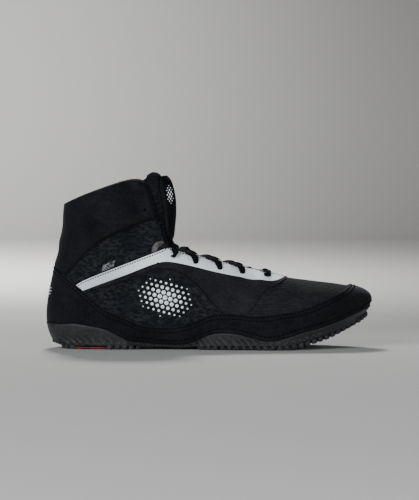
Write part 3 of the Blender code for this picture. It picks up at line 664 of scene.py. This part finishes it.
# Tongue: a padded knit tongue that stands above the collar, soft enough to fold
# into small upright creases where the cuff grips it.
tongue_cloth = knit_finish(
    "tongue_knit",
    0.0016,
    (0.0040, 0.0044, 0.0056, 1),
    (0.0205, 0.0216, 0.0250, 1),
    (0.0115, 0.0123, 0.0150, 1),
)
tongue = copy_node("tongue", "padded_tongue")
shape(tongue, "SUBSURF", levels=2, render_levels=2)
for vert in tongue.data.vertices:
    co = vert.co
    high = min(1.0, max(0.0, (co.z - 0.100) / 0.020))
    wander = 0.0014 * math.sin(co.z * 210.0)
    fold = math.cos((co.x + wander) * 2 * math.pi / 0.0050)
    ripple = math.sin(co.z * 2 * math.pi / 0.021 + co.x * 120.0)
    beside = min(1.0, abs(co.y) / 0.010)
    vert.co += outward(co) * (0.00070 * fold + 0.0003 * ripple) * high * beside
    top = min(1.0, max(0.0, (co.z - 0.140) / 0.008))
    vert.co.z += top * (0.0012 * math.cos((co.x + 0.0465) / 0.0065 * math.pi * 0.5) - 0.0004)
    notch = math.exp(-(((co.x + 0.0402) / 0.0022) ** 2))
    vert.co.z -= top * notch * 0.0022
    if vert.normal.z > 0.3:
        vert.co.z -= 0.0024 * min(1.0, max(0.0, (co.x - 0.020) / 0.012))
dress(tongue, tongue_cloth, node="tongue", slot="tongue_cloth")

# Lace cover: a smooth pad sewn to the tongue's front, under which the lace ends go.
smooth_black = Finish("smooth_black", roughness=0.7, specular=0.12)
smooth_grain = smooth_black.noise(0.0010, 3.0)
smooth_shade = smooth_black.noise(0.022, 3.0)
smooth_black.use(
    base_color=smooth_black.blend(smooth_shade, (0.0020, 0.0022, 0.0030, 1), (0.0046, 0.0050, 0.0065, 1)),
    roughness=smooth_shade * 0.18 + 0.60,
    normal=smooth_black.relief(smooth_grain + smooth_shade * 2.0, 0.00015, 0.7),
)
cover = copy_node("tongue_flap", "lace_cover")
shape(cover, "SUBSURF", levels=3, render_levels=3)
cover_low = min(vert.co.z for vert in cover.data.vertices)
cover_high = max(vert.co.z for vert in cover.data.vertices)
for vert in cover.data.vertices:
    co = vert.co
    share = (co.z - cover_low) / (cover_high - cover_low)
    outer = min(1.0, max(0.0, vert.normal.dot(outward(co)) * 1.5))
    swell = math.sin(math.pi * min(1.0, max(0.0, share * 0.92 + 0.04))) ** 0.8
    pinch = max(0.0, 1 - share / 0.16) ** 2 + 0.8 * max(0.0, (share - 0.88) / 0.12) ** 2
    vert.co = co + outward(co) * outer * (0.0022 * swell - 0.0016 * pinch)
dress(cover, smooth_black, node="tongue_flap", slot="flap_smooth")

# Outsole: grey moulded rubber, cupped up at heel and toe and black at the arch,
# with rounded lugs underneath and a row of small teeth round its rim.
rubber = Finish("grey_rubber", roughness=0.6, specular=0.32)
rubber_x, _, rubber_z = rubber.axes(rubber.place())
rubber_dust = rubber.noise(0.012, 5.0, 0.65)
rubber_grain = rubber.noise(0.0024, 3.0, 0.6)
rubber_bend = rubber.noise(0.030, 2.0)
rubber_flow = (rubber_x * 1000.0 + rubber_z * 800.0 + rubber_bend * 14.0).wave()
rubber_low = 1 - rubber_z.clear_above(0.004, 0.013)
rubber_mottle = (rubber_dust * 0.5 + rubber_grain * 0.6).clear_above(0.36, 0.78)
rubber_tone = rubber.blend(rubber_mottle, (0.0088, 0.0097, 0.0116, 1), (0.0250, 0.0267, 0.0302, 1))
rubber_tone = rubber.blend(rubber_low * rubber_dust * 0.55, rubber_tone, (0.042, 0.042, 0.041, 1))
# Painted light: the rubber is painted lighter toward the toe, where less light falls on the front of the
# shoe.
rubber_tone = rubber.blend(rubber_x.clear_above(0.085, 0.130) * 0.30, rubber_tone, (0.048, 0.050, 0.056, 1))
rubber_rear = (rubber_x + rubber_z * 0.96).clear_above(-0.0655, -0.0630)
rubber_fore = (rubber_x - rubber_z).clear_above(-0.0155, -0.0130)
rubber_tone = rubber.blend(rubber_rear * (1 - rubber_fore), rubber_tone, (0.0062, 0.0066, 0.0080, 1))
rubber.use(
    base_color=rubber_tone,
    roughness=rubber_dust * 0.22 + 0.48,
    normal=rubber.relief(rubber_flow * rubber_low * 1.6 + rubber_grain * 0.9, 0.00040, 0.9),
)
SOLE_END = 0.1420

sole = copy_node("outsole", "rubber_sole")
bpy.ops.object.mode_set(mode="EDIT")
bpy.context.tool_settings.mesh_select_mode = (False, True, False)
bpy.ops.mesh.select_all(action="DESELECT")
bpy.ops.mesh.edges_select_sharp(sharpness=math.radians(33))
bpy.ops.transform.edge_crease(value=0.75)
bpy.context.tool_settings.mesh_select_mode = (True, False, False)
bpy.ops.object.mode_set(mode="OBJECT")
shape(sole, "SUBSURF", levels=2, render_levels=2)
reach = max(vert.co.x for vert in sole.data.vertices)
for vert in sole.data.vertices:
    vert.co.x += max(0.0, (vert.co.x - 0.108) / (reach - 0.108)) * (SOLE_END - reach)
dress(sole, rubber, node="outsole", slot="sole_rubber", bends=False)

# Rim teeth: rounded blocks moulded along the tread's edge at heel and forefoot,
# with a row of smaller slanted ones above them. The arch is bare.
TREAD_RISE = [
    (0.067, 0.0),
    (0.0755, 0.0016),
    (0.0875, 0.0050),
    (0.1015, 0.0093),
    (0.1146, 0.0149),
    (0.1274, 0.0212),
    (0.1425, 0.0311),
]


def tread_height(x):
    """Height of the tread, which curls up at the toe."""
    if x <= TREAD_RISE[0][0]:
        return 0.0
    for low, high in zip(TREAD_RISE, TREAD_RISE[1:]):
        if x <= high[0]:
            return low[1] + (high[1] - low[1]) * (x - low[0]) / (high[0] - low[0])
    return TREAD_RISE[-1][1]


def pick_faces(piece, wanted):
    """Leaves a piece in edit mode with only the wanted faces selected."""
    pick(piece)
    bpy.ops.object.mode_set(mode="EDIT")
    bpy.context.tool_settings.mesh_select_mode = (False, False, True)
    bpy.ops.mesh.select_all(action="DESELECT")
    bpy.ops.object.mode_set(mode="OBJECT")
    for face in piece.data.polygons:
        face.select = wanted(face)
    bpy.ops.object.mode_set(mode="EDIT")


def leave_edit():
    bpy.context.tool_settings.mesh_select_mode = (True, False, False)
    bpy.ops.object.mode_set(mode="OBJECT")


def repeat(name, pattern, places):
    """One mesh of many copies of a pattern piece, each at its own place."""
    bm = bmesh.new()
    for place in places:
        start = len(bm.verts)
        bm.from_mesh(pattern.data)
        bm.verts.ensure_lookup_table()
        bmesh.ops.transform(bm, matrix=place, verts=bm.verts[start:])
    bmesh.ops.recalc_face_normals(bm, faces=bm.faces)
    mesh = bpy.data.meshes.new(name)
    bm.to_mesh(mesh)
    bm.free()
    piece = bpy.data.objects.new(name, mesh)
    bpy.context.scene.collection.objects.link(piece)
    pick(piece)
    bpy.ops.object.shade_smooth_by_angle(angle=math.radians(40))
    return piece


def stand(point, along, up, length, width, height):
    """A matrix that puts a unit piece at a point, along one way and up another."""
    x = along.normalized()
    z = (up - x * up.dot(x)).normalized()
    y = z.cross(x)
    turn = Matrix((x * length, y * width, z * height)).transposed().to_4x4()
    return Matrix.Translation(point) @ turn


sole_surface = surface_of(sole)


def rim_walk(above):
    """Points right round the rubber's wall at a height above the tread."""
    rays = []
    for end_x, end_y, first_turn, ahead in ((-0.105, 0.006, 90, 1), (0.095, 0.004, -90, -1)):
        for k in range(60):
            turn = math.radians(first_turn + 3.0 * k)
            rays.append((Vector((end_x, end_y, 0.0)), Vector((math.cos(turn), math.sin(turn), 0.0))))
        for k in range(80):
            rays.append((Vector((end_x + 0.0025 * k * ahead, 0.0, 0.0)), Vector((0.0, -ahead, 0.0))))
    walk = []
    for middle, way in rays:
        far = middle + way * 0.08
        for tries in range(6):
            far.z = tread_height(far.x if tries == 0 else hit.x) + above
            start = middle + way * 0.12 + Vector((0, 0, far.z))
            hit, normal, index, away = sole_surface.ray_cast(start, -way)
            if hit is None:
                break
        if hit is not None:
            walk.append(hit.copy())
    return walk


bpy.ops.object.select_all(action="DESELECT")
bpy.ops.mesh.primitive_cube_add(size=2.0)
one_tooth = bpy.context.object
one_tooth.name = "one_tooth"
bpy.ops.object.mode_set(mode="EDIT")
bpy.ops.mesh.select_all(action="SELECT")
bpy.ops.mesh.bevel(offset=0.55, offset_type="OFFSET", segments=2, affect="EDGES")
bpy.ops.object.mode_set(mode="OBJECT")

TOOTH_PITCH = 0.0061
TOOTH_ROWS = [(0.0022, (0.0021, 0.0024, 0.0021)), (0.0064, (0.0016, 0.0011, 0.0015))]
places = []
for above, size in TOOTH_ROWS:
    walk = rim_walk(above)
    line = even_path(walk, int(path_length(walk) / TOOTH_PITCH))
    for k in range(1, len(line) - 1):
        point = line[k]
        if -0.060 < point.x < -0.010:
            continue
        if above > 0.003 and not (point.x > 0.050 or point.x < -0.100):
            continue
        along = line[k + 1] - line[k - 1]
        away = Vector((along.y, -along.x, 0.0)).normalized()
        lean = Vector((0, 0, 1)) + along.normalized() * (0.0 if above < 0.003 else 0.5)
        drop = 0.0007 if above < 0.003 and point.x > 0.075 else 0.0
        places.append(stand(point - away * 0.0003 - Vector((0, 0, drop)), along, lean, *size))
dress(repeat("rim_teeth", one_tooth, places), rubber, slot="sole_rubber", bends=False)

# Heel pad: a red rubber insert with the same lugs, moulded into the outer half.
red_rubber = Finish("red_rubber", roughness=0.55, specular=0.35)
red_dust = red_rubber.noise(0.010, 4.0)
red_mask = red_dust.clear_above(0.35, 0.65)
red_rubber.use(
    base_color=red_rubber.blend(red_mask, (0.030, 0.003, 0.004, 1), (0.130, 0.009, 0.010, 1)),
    roughness=red_dust * 0.25 + 0.45,
    normal=red_rubber.relief(red_rubber.noise(0.0008, 3.0), 0.0002, 0.6),
)
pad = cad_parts["heel_insert"]
for slot in pad.material_slots:
    slot.material = red_rubber.material

# Footbed: a thin foam insole under brushed cloth, glued to the sole plate.
footbed = copy_node("insole", "footbed")
shape(footbed, "SUBSURF", levels=2, render_levels=2)
dress(footbed, lining, node="insole", slot="insole_lining", bends=False)

# Laces: one flat black lace of woven polyester, out through each punched hole,
# over the eyestay's edge and under the other one. Its ends stop at the top holes.
LACE_WIDE = 0.0062
LACE_DEEP = 0.0021
EYELETS = [(0.0508, 0.0635), (0.0292, 0.0667), (0.0096, 0.0707), (-0.0113, 0.0761), (-0.0304, 0.0816)]

lace_weave = Finish("woven_lace", roughness=0.95, specular=0.04)
lace_x, lace_y, lace_z = lace_weave.axes(lace_weave.place())
lace_ribs = ((lace_x + lace_z) * 5200.0).wave() * ((lace_y - lace_z) * 5200.0).wave()
lace_fuzz = lace_weave.noise(0.0008, 3.0)
lace_mask = lace_ribs * 0.35 + lace_fuzz * 0.6
lace_weave.use(
    base_color=lace_weave.blend(lace_mask, (0.0040, 0.0044, 0.0056, 1), (0.0170, 0.0182, 0.0220, 1)),
    normal=lace_weave.relief(lace_ribs + lace_fuzz, 0.00025, 0.9),
)

outside = surface_of(body, foxing, cuff, *panels, *stripes)


def on_side(x, z, side, tree=outside):
    """The outermost point and normal of the shoe at a place in its side view."""
    start = Vector((x, side * 0.2, z))
    point, normal, index, away = tree.ray_cast(start, Vector((0.0, -side, 0.0)))
    if point is None:
        point, normal, index, away = tree.find_nearest(Vector((x, side * 0.05, z)))
    return point, normal


tongue_surface = surface_of(tongue, cover)


def over_tongue(point, lift):
    """The point raised over the tongue, which lies under the laces."""
    hit, normal, index, away = tongue_surface.ray_cast(point + Vector((0, 0, 0.05)), Vector((0, 0, -1)))
    if hit is None:
        return point
    return Vector((point.x, point.y, max(point.z, hit.z + lift)))


def eyestay_edge(side, x):
    """The point of the stripe's upper edge at a place along the shoe."""
    name = "silver_stripe_" + ("lateral" if side < 0 else "medial")
    runs = edge_runs(name, lambda p, inside: inside.z < -0.2 or (p.x > 0.02 and inside.y * side > 0.3))
    return min((point for run in runs for point, inside in run), key=lambda point: abs(point.x - x)).copy()


EDGE_BACK = [0.0050, 0.0085, 0.0085, 0.0080]
LACE_RISE = [-0.0024, 0.0002, 0.0002, 0.0008]
LACE_OVER = [0.0008, 0.0015, 0.0015, 0.0030]
FIRST_WIDTHS = [0.90, 1.05, 1.10, 1.00, 0.75, 0.50, 0.36]
NEXT_WIDTHS = [0.62, 0.80, 0.96, 1.02]
for i in range(4):
    for side in (-1, 1):
        here, here_up = on_side(*EYELETS[i], side)
        there = eyestay_edge(-side, EYELETS[i + 1][0] + 0.0055)
        edge = eyestay_edge(side, EYELETS[i][0] - EDGE_BACK[i])
        edge_up = (outward(edge) + here_up).normalized()
        over = 0.0 if side < 0 else LACE_OVER[i]
        bulge = here.lerp(edge, 0.45) + Vector((0.0018, 0.0, 0.0004))
        cross = edge.lerp(there, 0.48)
        cross.z = max(edge.z, there.z) + LACE_RISE[i] + over
        stops = [here - here_up * 0.0016, here + here_up * 0.0012 + Vector((0.0002, 0.0, -0.0008))]
        stops.append(bulge + here_up * 0.0020)
        stops.append(edge + edge_up * 0.0016 + Vector((0.0, 0.0, LACE_RISE[i] * 0.5)))
        stops.append(over_tongue(cross, over + (-0.0010 if i == 0 else 0.0004)))
        stops.append(there + Vector((0.0010, 0.0032 * side, 0.0004)))
        stops.append(there + Vector((-0.0008, -0.0004 * side, -0.0034)))
        path = smooth_path(stops, 36)
        travel = (edge - here).normalized()
        ups = []
        for k in range(len(path)):
            share = k / (len(path) - 1)
            emerged = min(1.0, k / 4)
            leaving = here_up * emerged - travel * (1 - emerged)
            laid = min(1.0, share * (5.0 if i == 0 else 2.4))
            up = leaving * (1 - laid) + Vector((0, 0, 1)) * laid
            ups.append(up.normalized())
        shares = FIRST_WIDTHS if i == 0 else NEXT_WIDTHS
        widths = [LACE_WIDE * shares[min(k, len(shares) - 1)] for k in range(len(path))]
        flat = 0.45 if i == 0 or side > 0 else 0.7
        thicks = [LACE_DEEP * (1.0 if k < 9 else flat) for k in range(len(path))]
        lace = sweep("lace_%d_%s" % (i + 1, "out" if side < 0 else "in"), path, widths, thicks, ups, 12)
        crossing = "lace_crossing_%d" % (i + 1)
        dress(lace, lace_weave, node=crossing if side < 0 else None, slot="lace_cord")

# Lace bar over the first pair of holes, and the top run that goes up from the last
# pair round the tongue and under the lace cover.
def mirror_stops(stops_of):
    """Stops from the outer side over to the inner one."""
    return stops_of(-1) + list(reversed(stops_of(1)))


def bar_stops(side):
    """From a first hole over its edge, low in the throat."""
    here, here_up = on_side(*EYELETS[0], side)
    edge = eyestay_edge(side, EYELETS[0][0] + 0.0012)
    over_edge = edge + here_up * 0.0013 + Vector((0, 0, 0.0003))
    return [here - here_up * 0.0016, here + here_up * 0.0016, over_edge]


def top_stops(side):
    """From a last hole up the side of the tongue to the lace cover."""
    here, here_up = on_side(*EYELETS[4], side)
    stops = [here - here_up * 0.0016, here + here_up * 0.0014 + Vector((0.0004, 0.0, -0.0006))]
    stops.append(here + here_up * 0.0022 + Vector((0.0010, 0.0, 0.0052)))
    for x, z, out in ((-0.0303, 0.0905, 0.0012), (-0.0345, 0.0935, 0.0008)):
        point, normal, index, away = tongue_surface.find_nearest(Vector((x, side * 0.010, z)))
        stops.append(point + outward(point) * out)
    return stops


bar_path = smooth_path(mirror_stops(bar_stops), 30)
top_path = smooth_path(mirror_stops(top_stops), 56)
bar_ups = [outward(point) for point in bar_path]
top_ups = [outward(point) + Vector((0.02, 0, 0)) for point in top_path]
bar = sweep("lace_bar_top", bar_path, [LACE_WIDE * 0.8] * 30, [LACE_DEEP * 0.8] * 30, bar_ups, 12)
top_run = sweep("lace_top_run", top_path, [LACE_WIDE] * 56, [LACE_DEEP] * 56, top_ups, 12)
dress(bar, lace_weave, node="lace_bar", slot="lace_cord")
dress(top_run, lace_weave, node="lace_top", slot="lace_cord")

# Stitching: black thread, darker than the suede, in short sunk stitches, double
# along the foxing's top, single elsewhere, and dark grey on the silver film.
THREAD = 0.00062

thread = Finish("sewing_thread", roughness=0.8, specular=0.10)
thread_twist = thread.noise(0.0006, 2.0)
thread.use(
    base_color=thread.blend(thread_twist, (0.0008, 0.0009, 0.0012, 1), (0.0028, 0.0030, 0.0036, 1)),
    normal=thread.relief(thread_twist, 0.0002, 0.8),
)
dark_thread = Finish("dark_thread", roughness=0.7, specular=0.2)
dark_grain = dark_thread.noise(0.0006, 2.0)
dark_thread.use(
    base_color=dark_thread.blend(dark_grain, (0.020, 0.022, 0.026, 1), (0.050, 0.054, 0.060, 1))
)

bpy.ops.object.select_all(action="DESELECT")
bpy.ops.mesh.primitive_cylinder_add(vertices=6, radius=1.0, depth=2.0, rotation=(0.0, math.pi / 2, 0.0))
one_stitch = bpy.context.object
one_stitch.name = "one_stitch"
bpy.ops.object.transform_apply(location=True, rotation=True, scale=True)
pick_faces(one_stitch, lambda face: len(face.vertices) == 6)
bpy.ops.mesh.inset(thickness=0.35, depth=-0.25)
leave_edit()


def sew(path, tree, pitch, high, fill=0.36):
    """Places of the stitches of one row along a path on a sheet."""
    count = max(2, round(path_length(path) / pitch))
    line = even_path(path, count * 2 + 1)
    places = []
    for k in range(count):
        middle = line[2 * k + 1]
        along = line[2 * k + 2] - line[2 * k]
        near, normal, index, away = tree.find_nearest(middle)
        if normal.dot(outward(near)) < 0:
            normal = -normal
        places.append(stand(near + normal * high, along, normal, pitch * fill, THREAD * 0.9, THREAD * 0.7))
    return places


def inset_path(name, run, away):
    """A line at a distance inside an edge run of a sheet."""
    tree = sheets[name][0]
    return [tree.find_nearest(point + inside * away)[0] for point, inside in run]


def seam(name, runs, away, pitch, high, fill=0.36):
    """Places of the stitches that follow some edge runs of a sheet, inside them."""
    places = []
    for run in runs:
        places += sew(inset_path(name, run, away), sheets[name][0], pitch, high, fill)
    return places


foxing_top = max(edge_runs("foxing_band", lambda p, inside: inside.z < -0.2), key=len)
foxing_low = max(edge_runs("foxing_band", lambda p, inside: inside.z > 0.2), key=len)
places = seam("foxing_band", [foxing_top], 0.0014, 0.0034, 0.00105, 0.30)
places += seam("foxing_band", [foxing_top], 0.0044, 0.0034, 0.00105, 0.30)
dress(repeat("foxing_top_stitches", one_stitch, places), thread)
places = seam("foxing_band", [foxing_low], 0.0034, 0.0038, 0.00105, 0.30)
dress(repeat("foxing_low_stitches", one_stitch, places), thread)

places = []
for side in ("lateral", "medial"):
    name = "eyestay_panel_" + side
    runs = edge_runs(name, lambda p, inside: p.x < 0.030 and (inside.z > -0.1 or abs(inside.x) > 0.6))
    places += seam(name, runs, 0.0014, 0.0028, 0.00075, 0.32)
dress(repeat("panel_stitches", one_stitch, places), thread)

cuff_low = edge_runs("ankle_cuff", lambda p, inside: inside.z > 0.1)
cuff_front = edge_runs("ankle_cuff", lambda p, inside: inside.x < -0.6 and p.x > -0.08)
places = seam("ankle_cuff", cuff_low, 0.0013, 0.0024, 0.00115)
places += seam("ankle_cuff", cuff_front, 0.0016, 0.0024, 0.00115)
dress(repeat("cuff_stitches", one_stitch, places), thread)

places = []
for side in ("lateral", "medial"):
    name = "silver_stripe_" + side
    runs = edge_runs(name, lambda p, inside: inside.z < -0.2)
    places += seam(name, runs, 0.0013, 0.0023, 0.0006, 0.30)
dress(repeat("stripe_stitches", one_stitch, places), dark_thread)

# Punched holes in the stripe, each edged by the dark cut backing, and a small
# vent hole near the front of the cuff on each side.
hole_black = Finish("punched_hole", roughness=0.9, specular=0.05)
hole_grain = hole_black.noise(0.0012, 2.0)
hole_black.use(
    base_color=hole_black.blend(hole_grain, (0.0010, 0.0010, 0.0012, 1), (0.0040, 0.0040, 0.0045, 1))
)
bpy.ops.object.select_all(action="DESELECT")
bpy.ops.mesh.primitive_cylinder_add(vertices=20, radius=1.0, depth=1.0)
one_hole = bpy.context.object
one_hole.name = "one_hole"
pick_faces(one_hole, lambda face: face.normal.z > 0.5)
bpy.ops.mesh.inset(thickness=0.22, depth=0.0)
bpy.ops.mesh.inset(thickness=0.10, depth=-0.35)
leave_edit()

places = []
for x, z in EYELETS:
    for side in (-1, 1):
        point, normal = on_side(x, z, side)
        places.append(stand(point, Vector((1, 0, 0)), normal, 0.0027, 0.0027, 0.0005))
for side in (-1, 1):
    point, normal = on_side(-0.0554, 0.1209, side)
    places.append(stand(point, Vector((1, 0, 0)), normal, 0.0013, 0.0013, 0.0005))
dress(repeat("punched_holes", one_hole, places), hole_black)

# Printed dots: a soft cluster of round silver dots on each side, on the lace cover
# and at the heel, large in the middle and small at its rim.
bpy.ops.object.select_all(action="DESELECT")
bpy.ops.mesh.primitive_cylinder_add(vertices=18, radius=1.0, depth=1.0)
one_dot = bpy.context.object
one_dot.name = "one_dot"
pick_faces(one_dot, lambda face: face.normal.z > 0.5)
bpy.ops.mesh.inset(thickness=0.12, depth=0.25)
leave_edit()


def oval_dots(wide, high, pitch, largest, taper):
    """Staggered dots in an oval: how far each lies from its middle, and its size."""
    rows = int(high / (pitch * 0.866)) + 1
    columns = int(wide / pitch) + 2
    for row in range(-rows, rows + 1):
        for column in range(-columns, columns + 1):
            u = (column + 0.5 * (row % 2)) * pitch
            v = row * pitch * 0.866
            reach = math.hypot(u / wide, v / high)
            if reach <= 1.0:
                yield u, v, largest * (1.0 - taper * reach**1.6)


def side_dots(middle_x, middle_z, tilt, side, tree, *oval):
    """Places of the dots of a tilted oval on one side of the shoe."""
    places = []
    for u, v, size in oval_dots(*oval, 0.72):
        x = middle_x + u * math.cos(tilt) - v * math.sin(tilt)
        z = middle_z + u * math.sin(tilt) + v * math.cos(tilt)
        point, normal = on_side(x, z, side, tree)
        places.append(stand(point, Vector((1, 0, 0)), normal, size, size, 0.0005))
    return places


places = []
cover_surface = surface_of(cover)
for side in (-1, 1):
    places += side_dots(-0.0375, 0.0450, math.radians(-15), side, outside, 0.0245, 0.0165, 0.0047, 0.0020)
    places += side_dots(-0.0335, 0.1338, math.radians(8), side, cover_surface, 0.0032, 0.0088, 0.0022, 0.0009)
for u, v, size in oval_dots(0.0140, 0.0062, 0.0030, 0.0011, 0.6):
    point, normal, index, away = outside.ray_cast(Vector((-0.25, u, 0.0500 + v)), Vector((1.0, 0.0, 0.0)))
    if point is not None:
        places.append(stand(point, Vector((0, 1, 0)), normal, size, size, 0.0005))
dress(repeat("printed_dots", one_dot, places), film)

# Side tag: a small folded woven label on the stripe's upper edge, left plain.
tag_weave = Finish("woven_tag", roughness=0.8, specular=0.2)
tag_x, _, tag_z = tag_weave.axes(tag_weave.place())
tag_rows = (tag_z * 9000.0 + tag_x * 900.0).wave() * (tag_x * 7000.0).wave()
tag_flecks = tag_weave.noise(0.0016, 2.0, 0.7).clear_above(0.45, 0.58)
tag_weave.use(
    base_color=tag_weave.blend(tag_flecks, (0.035, 0.036, 0.041, 1), (0.300, 0.310, 0.330, 1)),
    normal=tag_weave.relief(tag_rows, 0.0002, 0.8),
)
lay_sheet("side_tag", "woven_side_tag", "tag_woven", 0.0006, 0.0007, tag_weave, None, "PRESERVE_CORNERS")

# Gusset patch: a soft grey-brown elastic that shows beside the tongue, just above
# the stripe, sewn to the edge of the ankle mesh.
gusset_cloth = Finish("gusset_elastic", roughness=0.9, specular=0.12, sheen=0.25)
gusset_x, _, gusset_z = gusset_cloth.axes(gusset_cloth.place())
gusset_ribs = ((gusset_x * 0.7 + gusset_z) * (2 * math.pi / 0.0011)).wave() * 0.5 + 0.5
gusset_shade = gusset_cloth.noise(0.005, 3.0)
gusset_mask = (gusset_ribs * 0.3 + gusset_shade * 0.8).clear_above(0.35, 0.80)
gusset_cloth.use(
    base_color=gusset_cloth.blend(gusset_mask, (0.030, 0.028, 0.030, 1), (0.200, 0.180, 0.186, 1)),
    normal=gusset_cloth.relief(gusset_ribs + gusset_shade, 0.00025, 0.7),
)
BACK_ARC = [(-0.0494, 0.0834), (-0.0484, 0.0877), (-0.0449, 0.0919), (-0.0397, 0.0938)]
FRONT_ARC = [(-0.0450, 0.0848), (-0.0432, 0.0876), (-0.0410, 0.0898), (-0.0384, 0.0918)]


def arc_at(arc, share):
    """A point along a short run of side-view places."""
    path = smooth_path([Vector((x, 0.0, z)) for x, z in arc], 21)
    at = share * 20
    low = min(19, int(at))
    return path[low].lerp(path[low + 1], at - low)


for side in (-1, 1):
    bpy.ops.object.select_all(action="DESELECT")
    bpy.ops.mesh.primitive_grid_add(x_subdivisions=8, y_subdivisions=14, size=1.0)
    gusset = bpy.context.object
    gusset.name = "gusset_" + ("outer" if side < 0 else "inner")
    for vert in gusset.data.vertices:
        place = arc_at(BACK_ARC, vert.co.y + 0.5).lerp(arc_at(FRONT_ARC, vert.co.y + 0.5), vert.co.x + 0.5)
        swell = math.sin(math.pi * (vert.co.x + 0.5)) * math.sin(math.pi * (vert.co.y + 0.5))
        point, normal = on_side(place.x, place.z, side, body_surface)
        vert.co = point + normal * (0.0003 + 0.0010 * swell)
    face_out(gusset)
    shape(gusset, "SOLIDIFY", thickness=0.0006, offset=1.0)
    shape(gusset, "SUBSURF", levels=1, render_levels=1)
    dress(gusset, gusset_cloth)

# Creases: the worn bends of the upper, as soft troughs beside low ridges. Each is a
# line in the side view, with its half width and depth, and all that is sewn or
# laced to the upper moves with it. The toe guard is filled out down to the rubber.
TOE_FILL = 0.0016
CREASES = [
    ((-0.066, 0.098), (-0.044, 0.092), 0.0060, 0.0010),
    ((-0.100, 0.083), (-0.072, 0.092), 0.0070, 0.0008),
    ((-0.128, 0.083), (-0.108, 0.076), 0.0060, 0.0007),
    ((-0.120, 0.104), (-0.090, 0.112), 0.0080, 0.0006),
    ((-0.062, 0.112), (-0.055, 0.138), 0.0050, 0.0007),
    ((0.022, 0.040), (0.036, 0.060), 0.0055, 0.0007),
    ((0.044, 0.034), (0.056, 0.054), 0.0060, 0.0008),
    ((0.068, 0.034), (0.076, 0.050), 0.0060, 0.0006),
    ((-0.020, 0.028), (0.004, 0.040), 0.0070, 0.0006),
    ((-0.092, 0.044), (-0.064, 0.052), 0.0080, 0.0006),
]


def crease_at(point):
    """How far the upper is pressed in at a point, in metres; ridges are below zero."""
    total = 0.0
    for start, end, half, depth in CREASES:
        line_x = end[0] - start[0]
        line_z = end[1] - start[1]
        share = ((point.x - start[0]) * line_x + (point.z - start[1]) * line_z) / (line_x**2 + line_z**2)
        share = min(1.0, max(0.0, share))
        away_x = point.x - start[0] - share * line_x
        away_z = point.z - start[1] - share * line_z
        gap = math.hypot(away_x, away_z) / half
        if gap > 3.2:
            continue
        total += depth * (math.exp(-gap * gap) - 0.45 * math.exp(-((gap - 1.7) ** 2) * 2.2))
    return total


for piece in creased:
    for vert in piece.data.vertices:
        co = vert.co
        depth = crease_at(co)
        if depth:
            grip = min(1.0, max(0.0, (co.z - 0.016) / 0.010))
            vert.co = co - outward(co) * depth * grip
        fill = min(1.0, max(0.0, (co.x - 0.126) / 0.012)) * min(1.0, max(0.0, (0.053 - co.z) / 0.010))
        vert.co.x += TOE_FILL * fill

for pattern in (one_tooth, one_stitch, one_hole, one_dot):
    bpy.data.objects.remove(pattern, do_unlink=True)
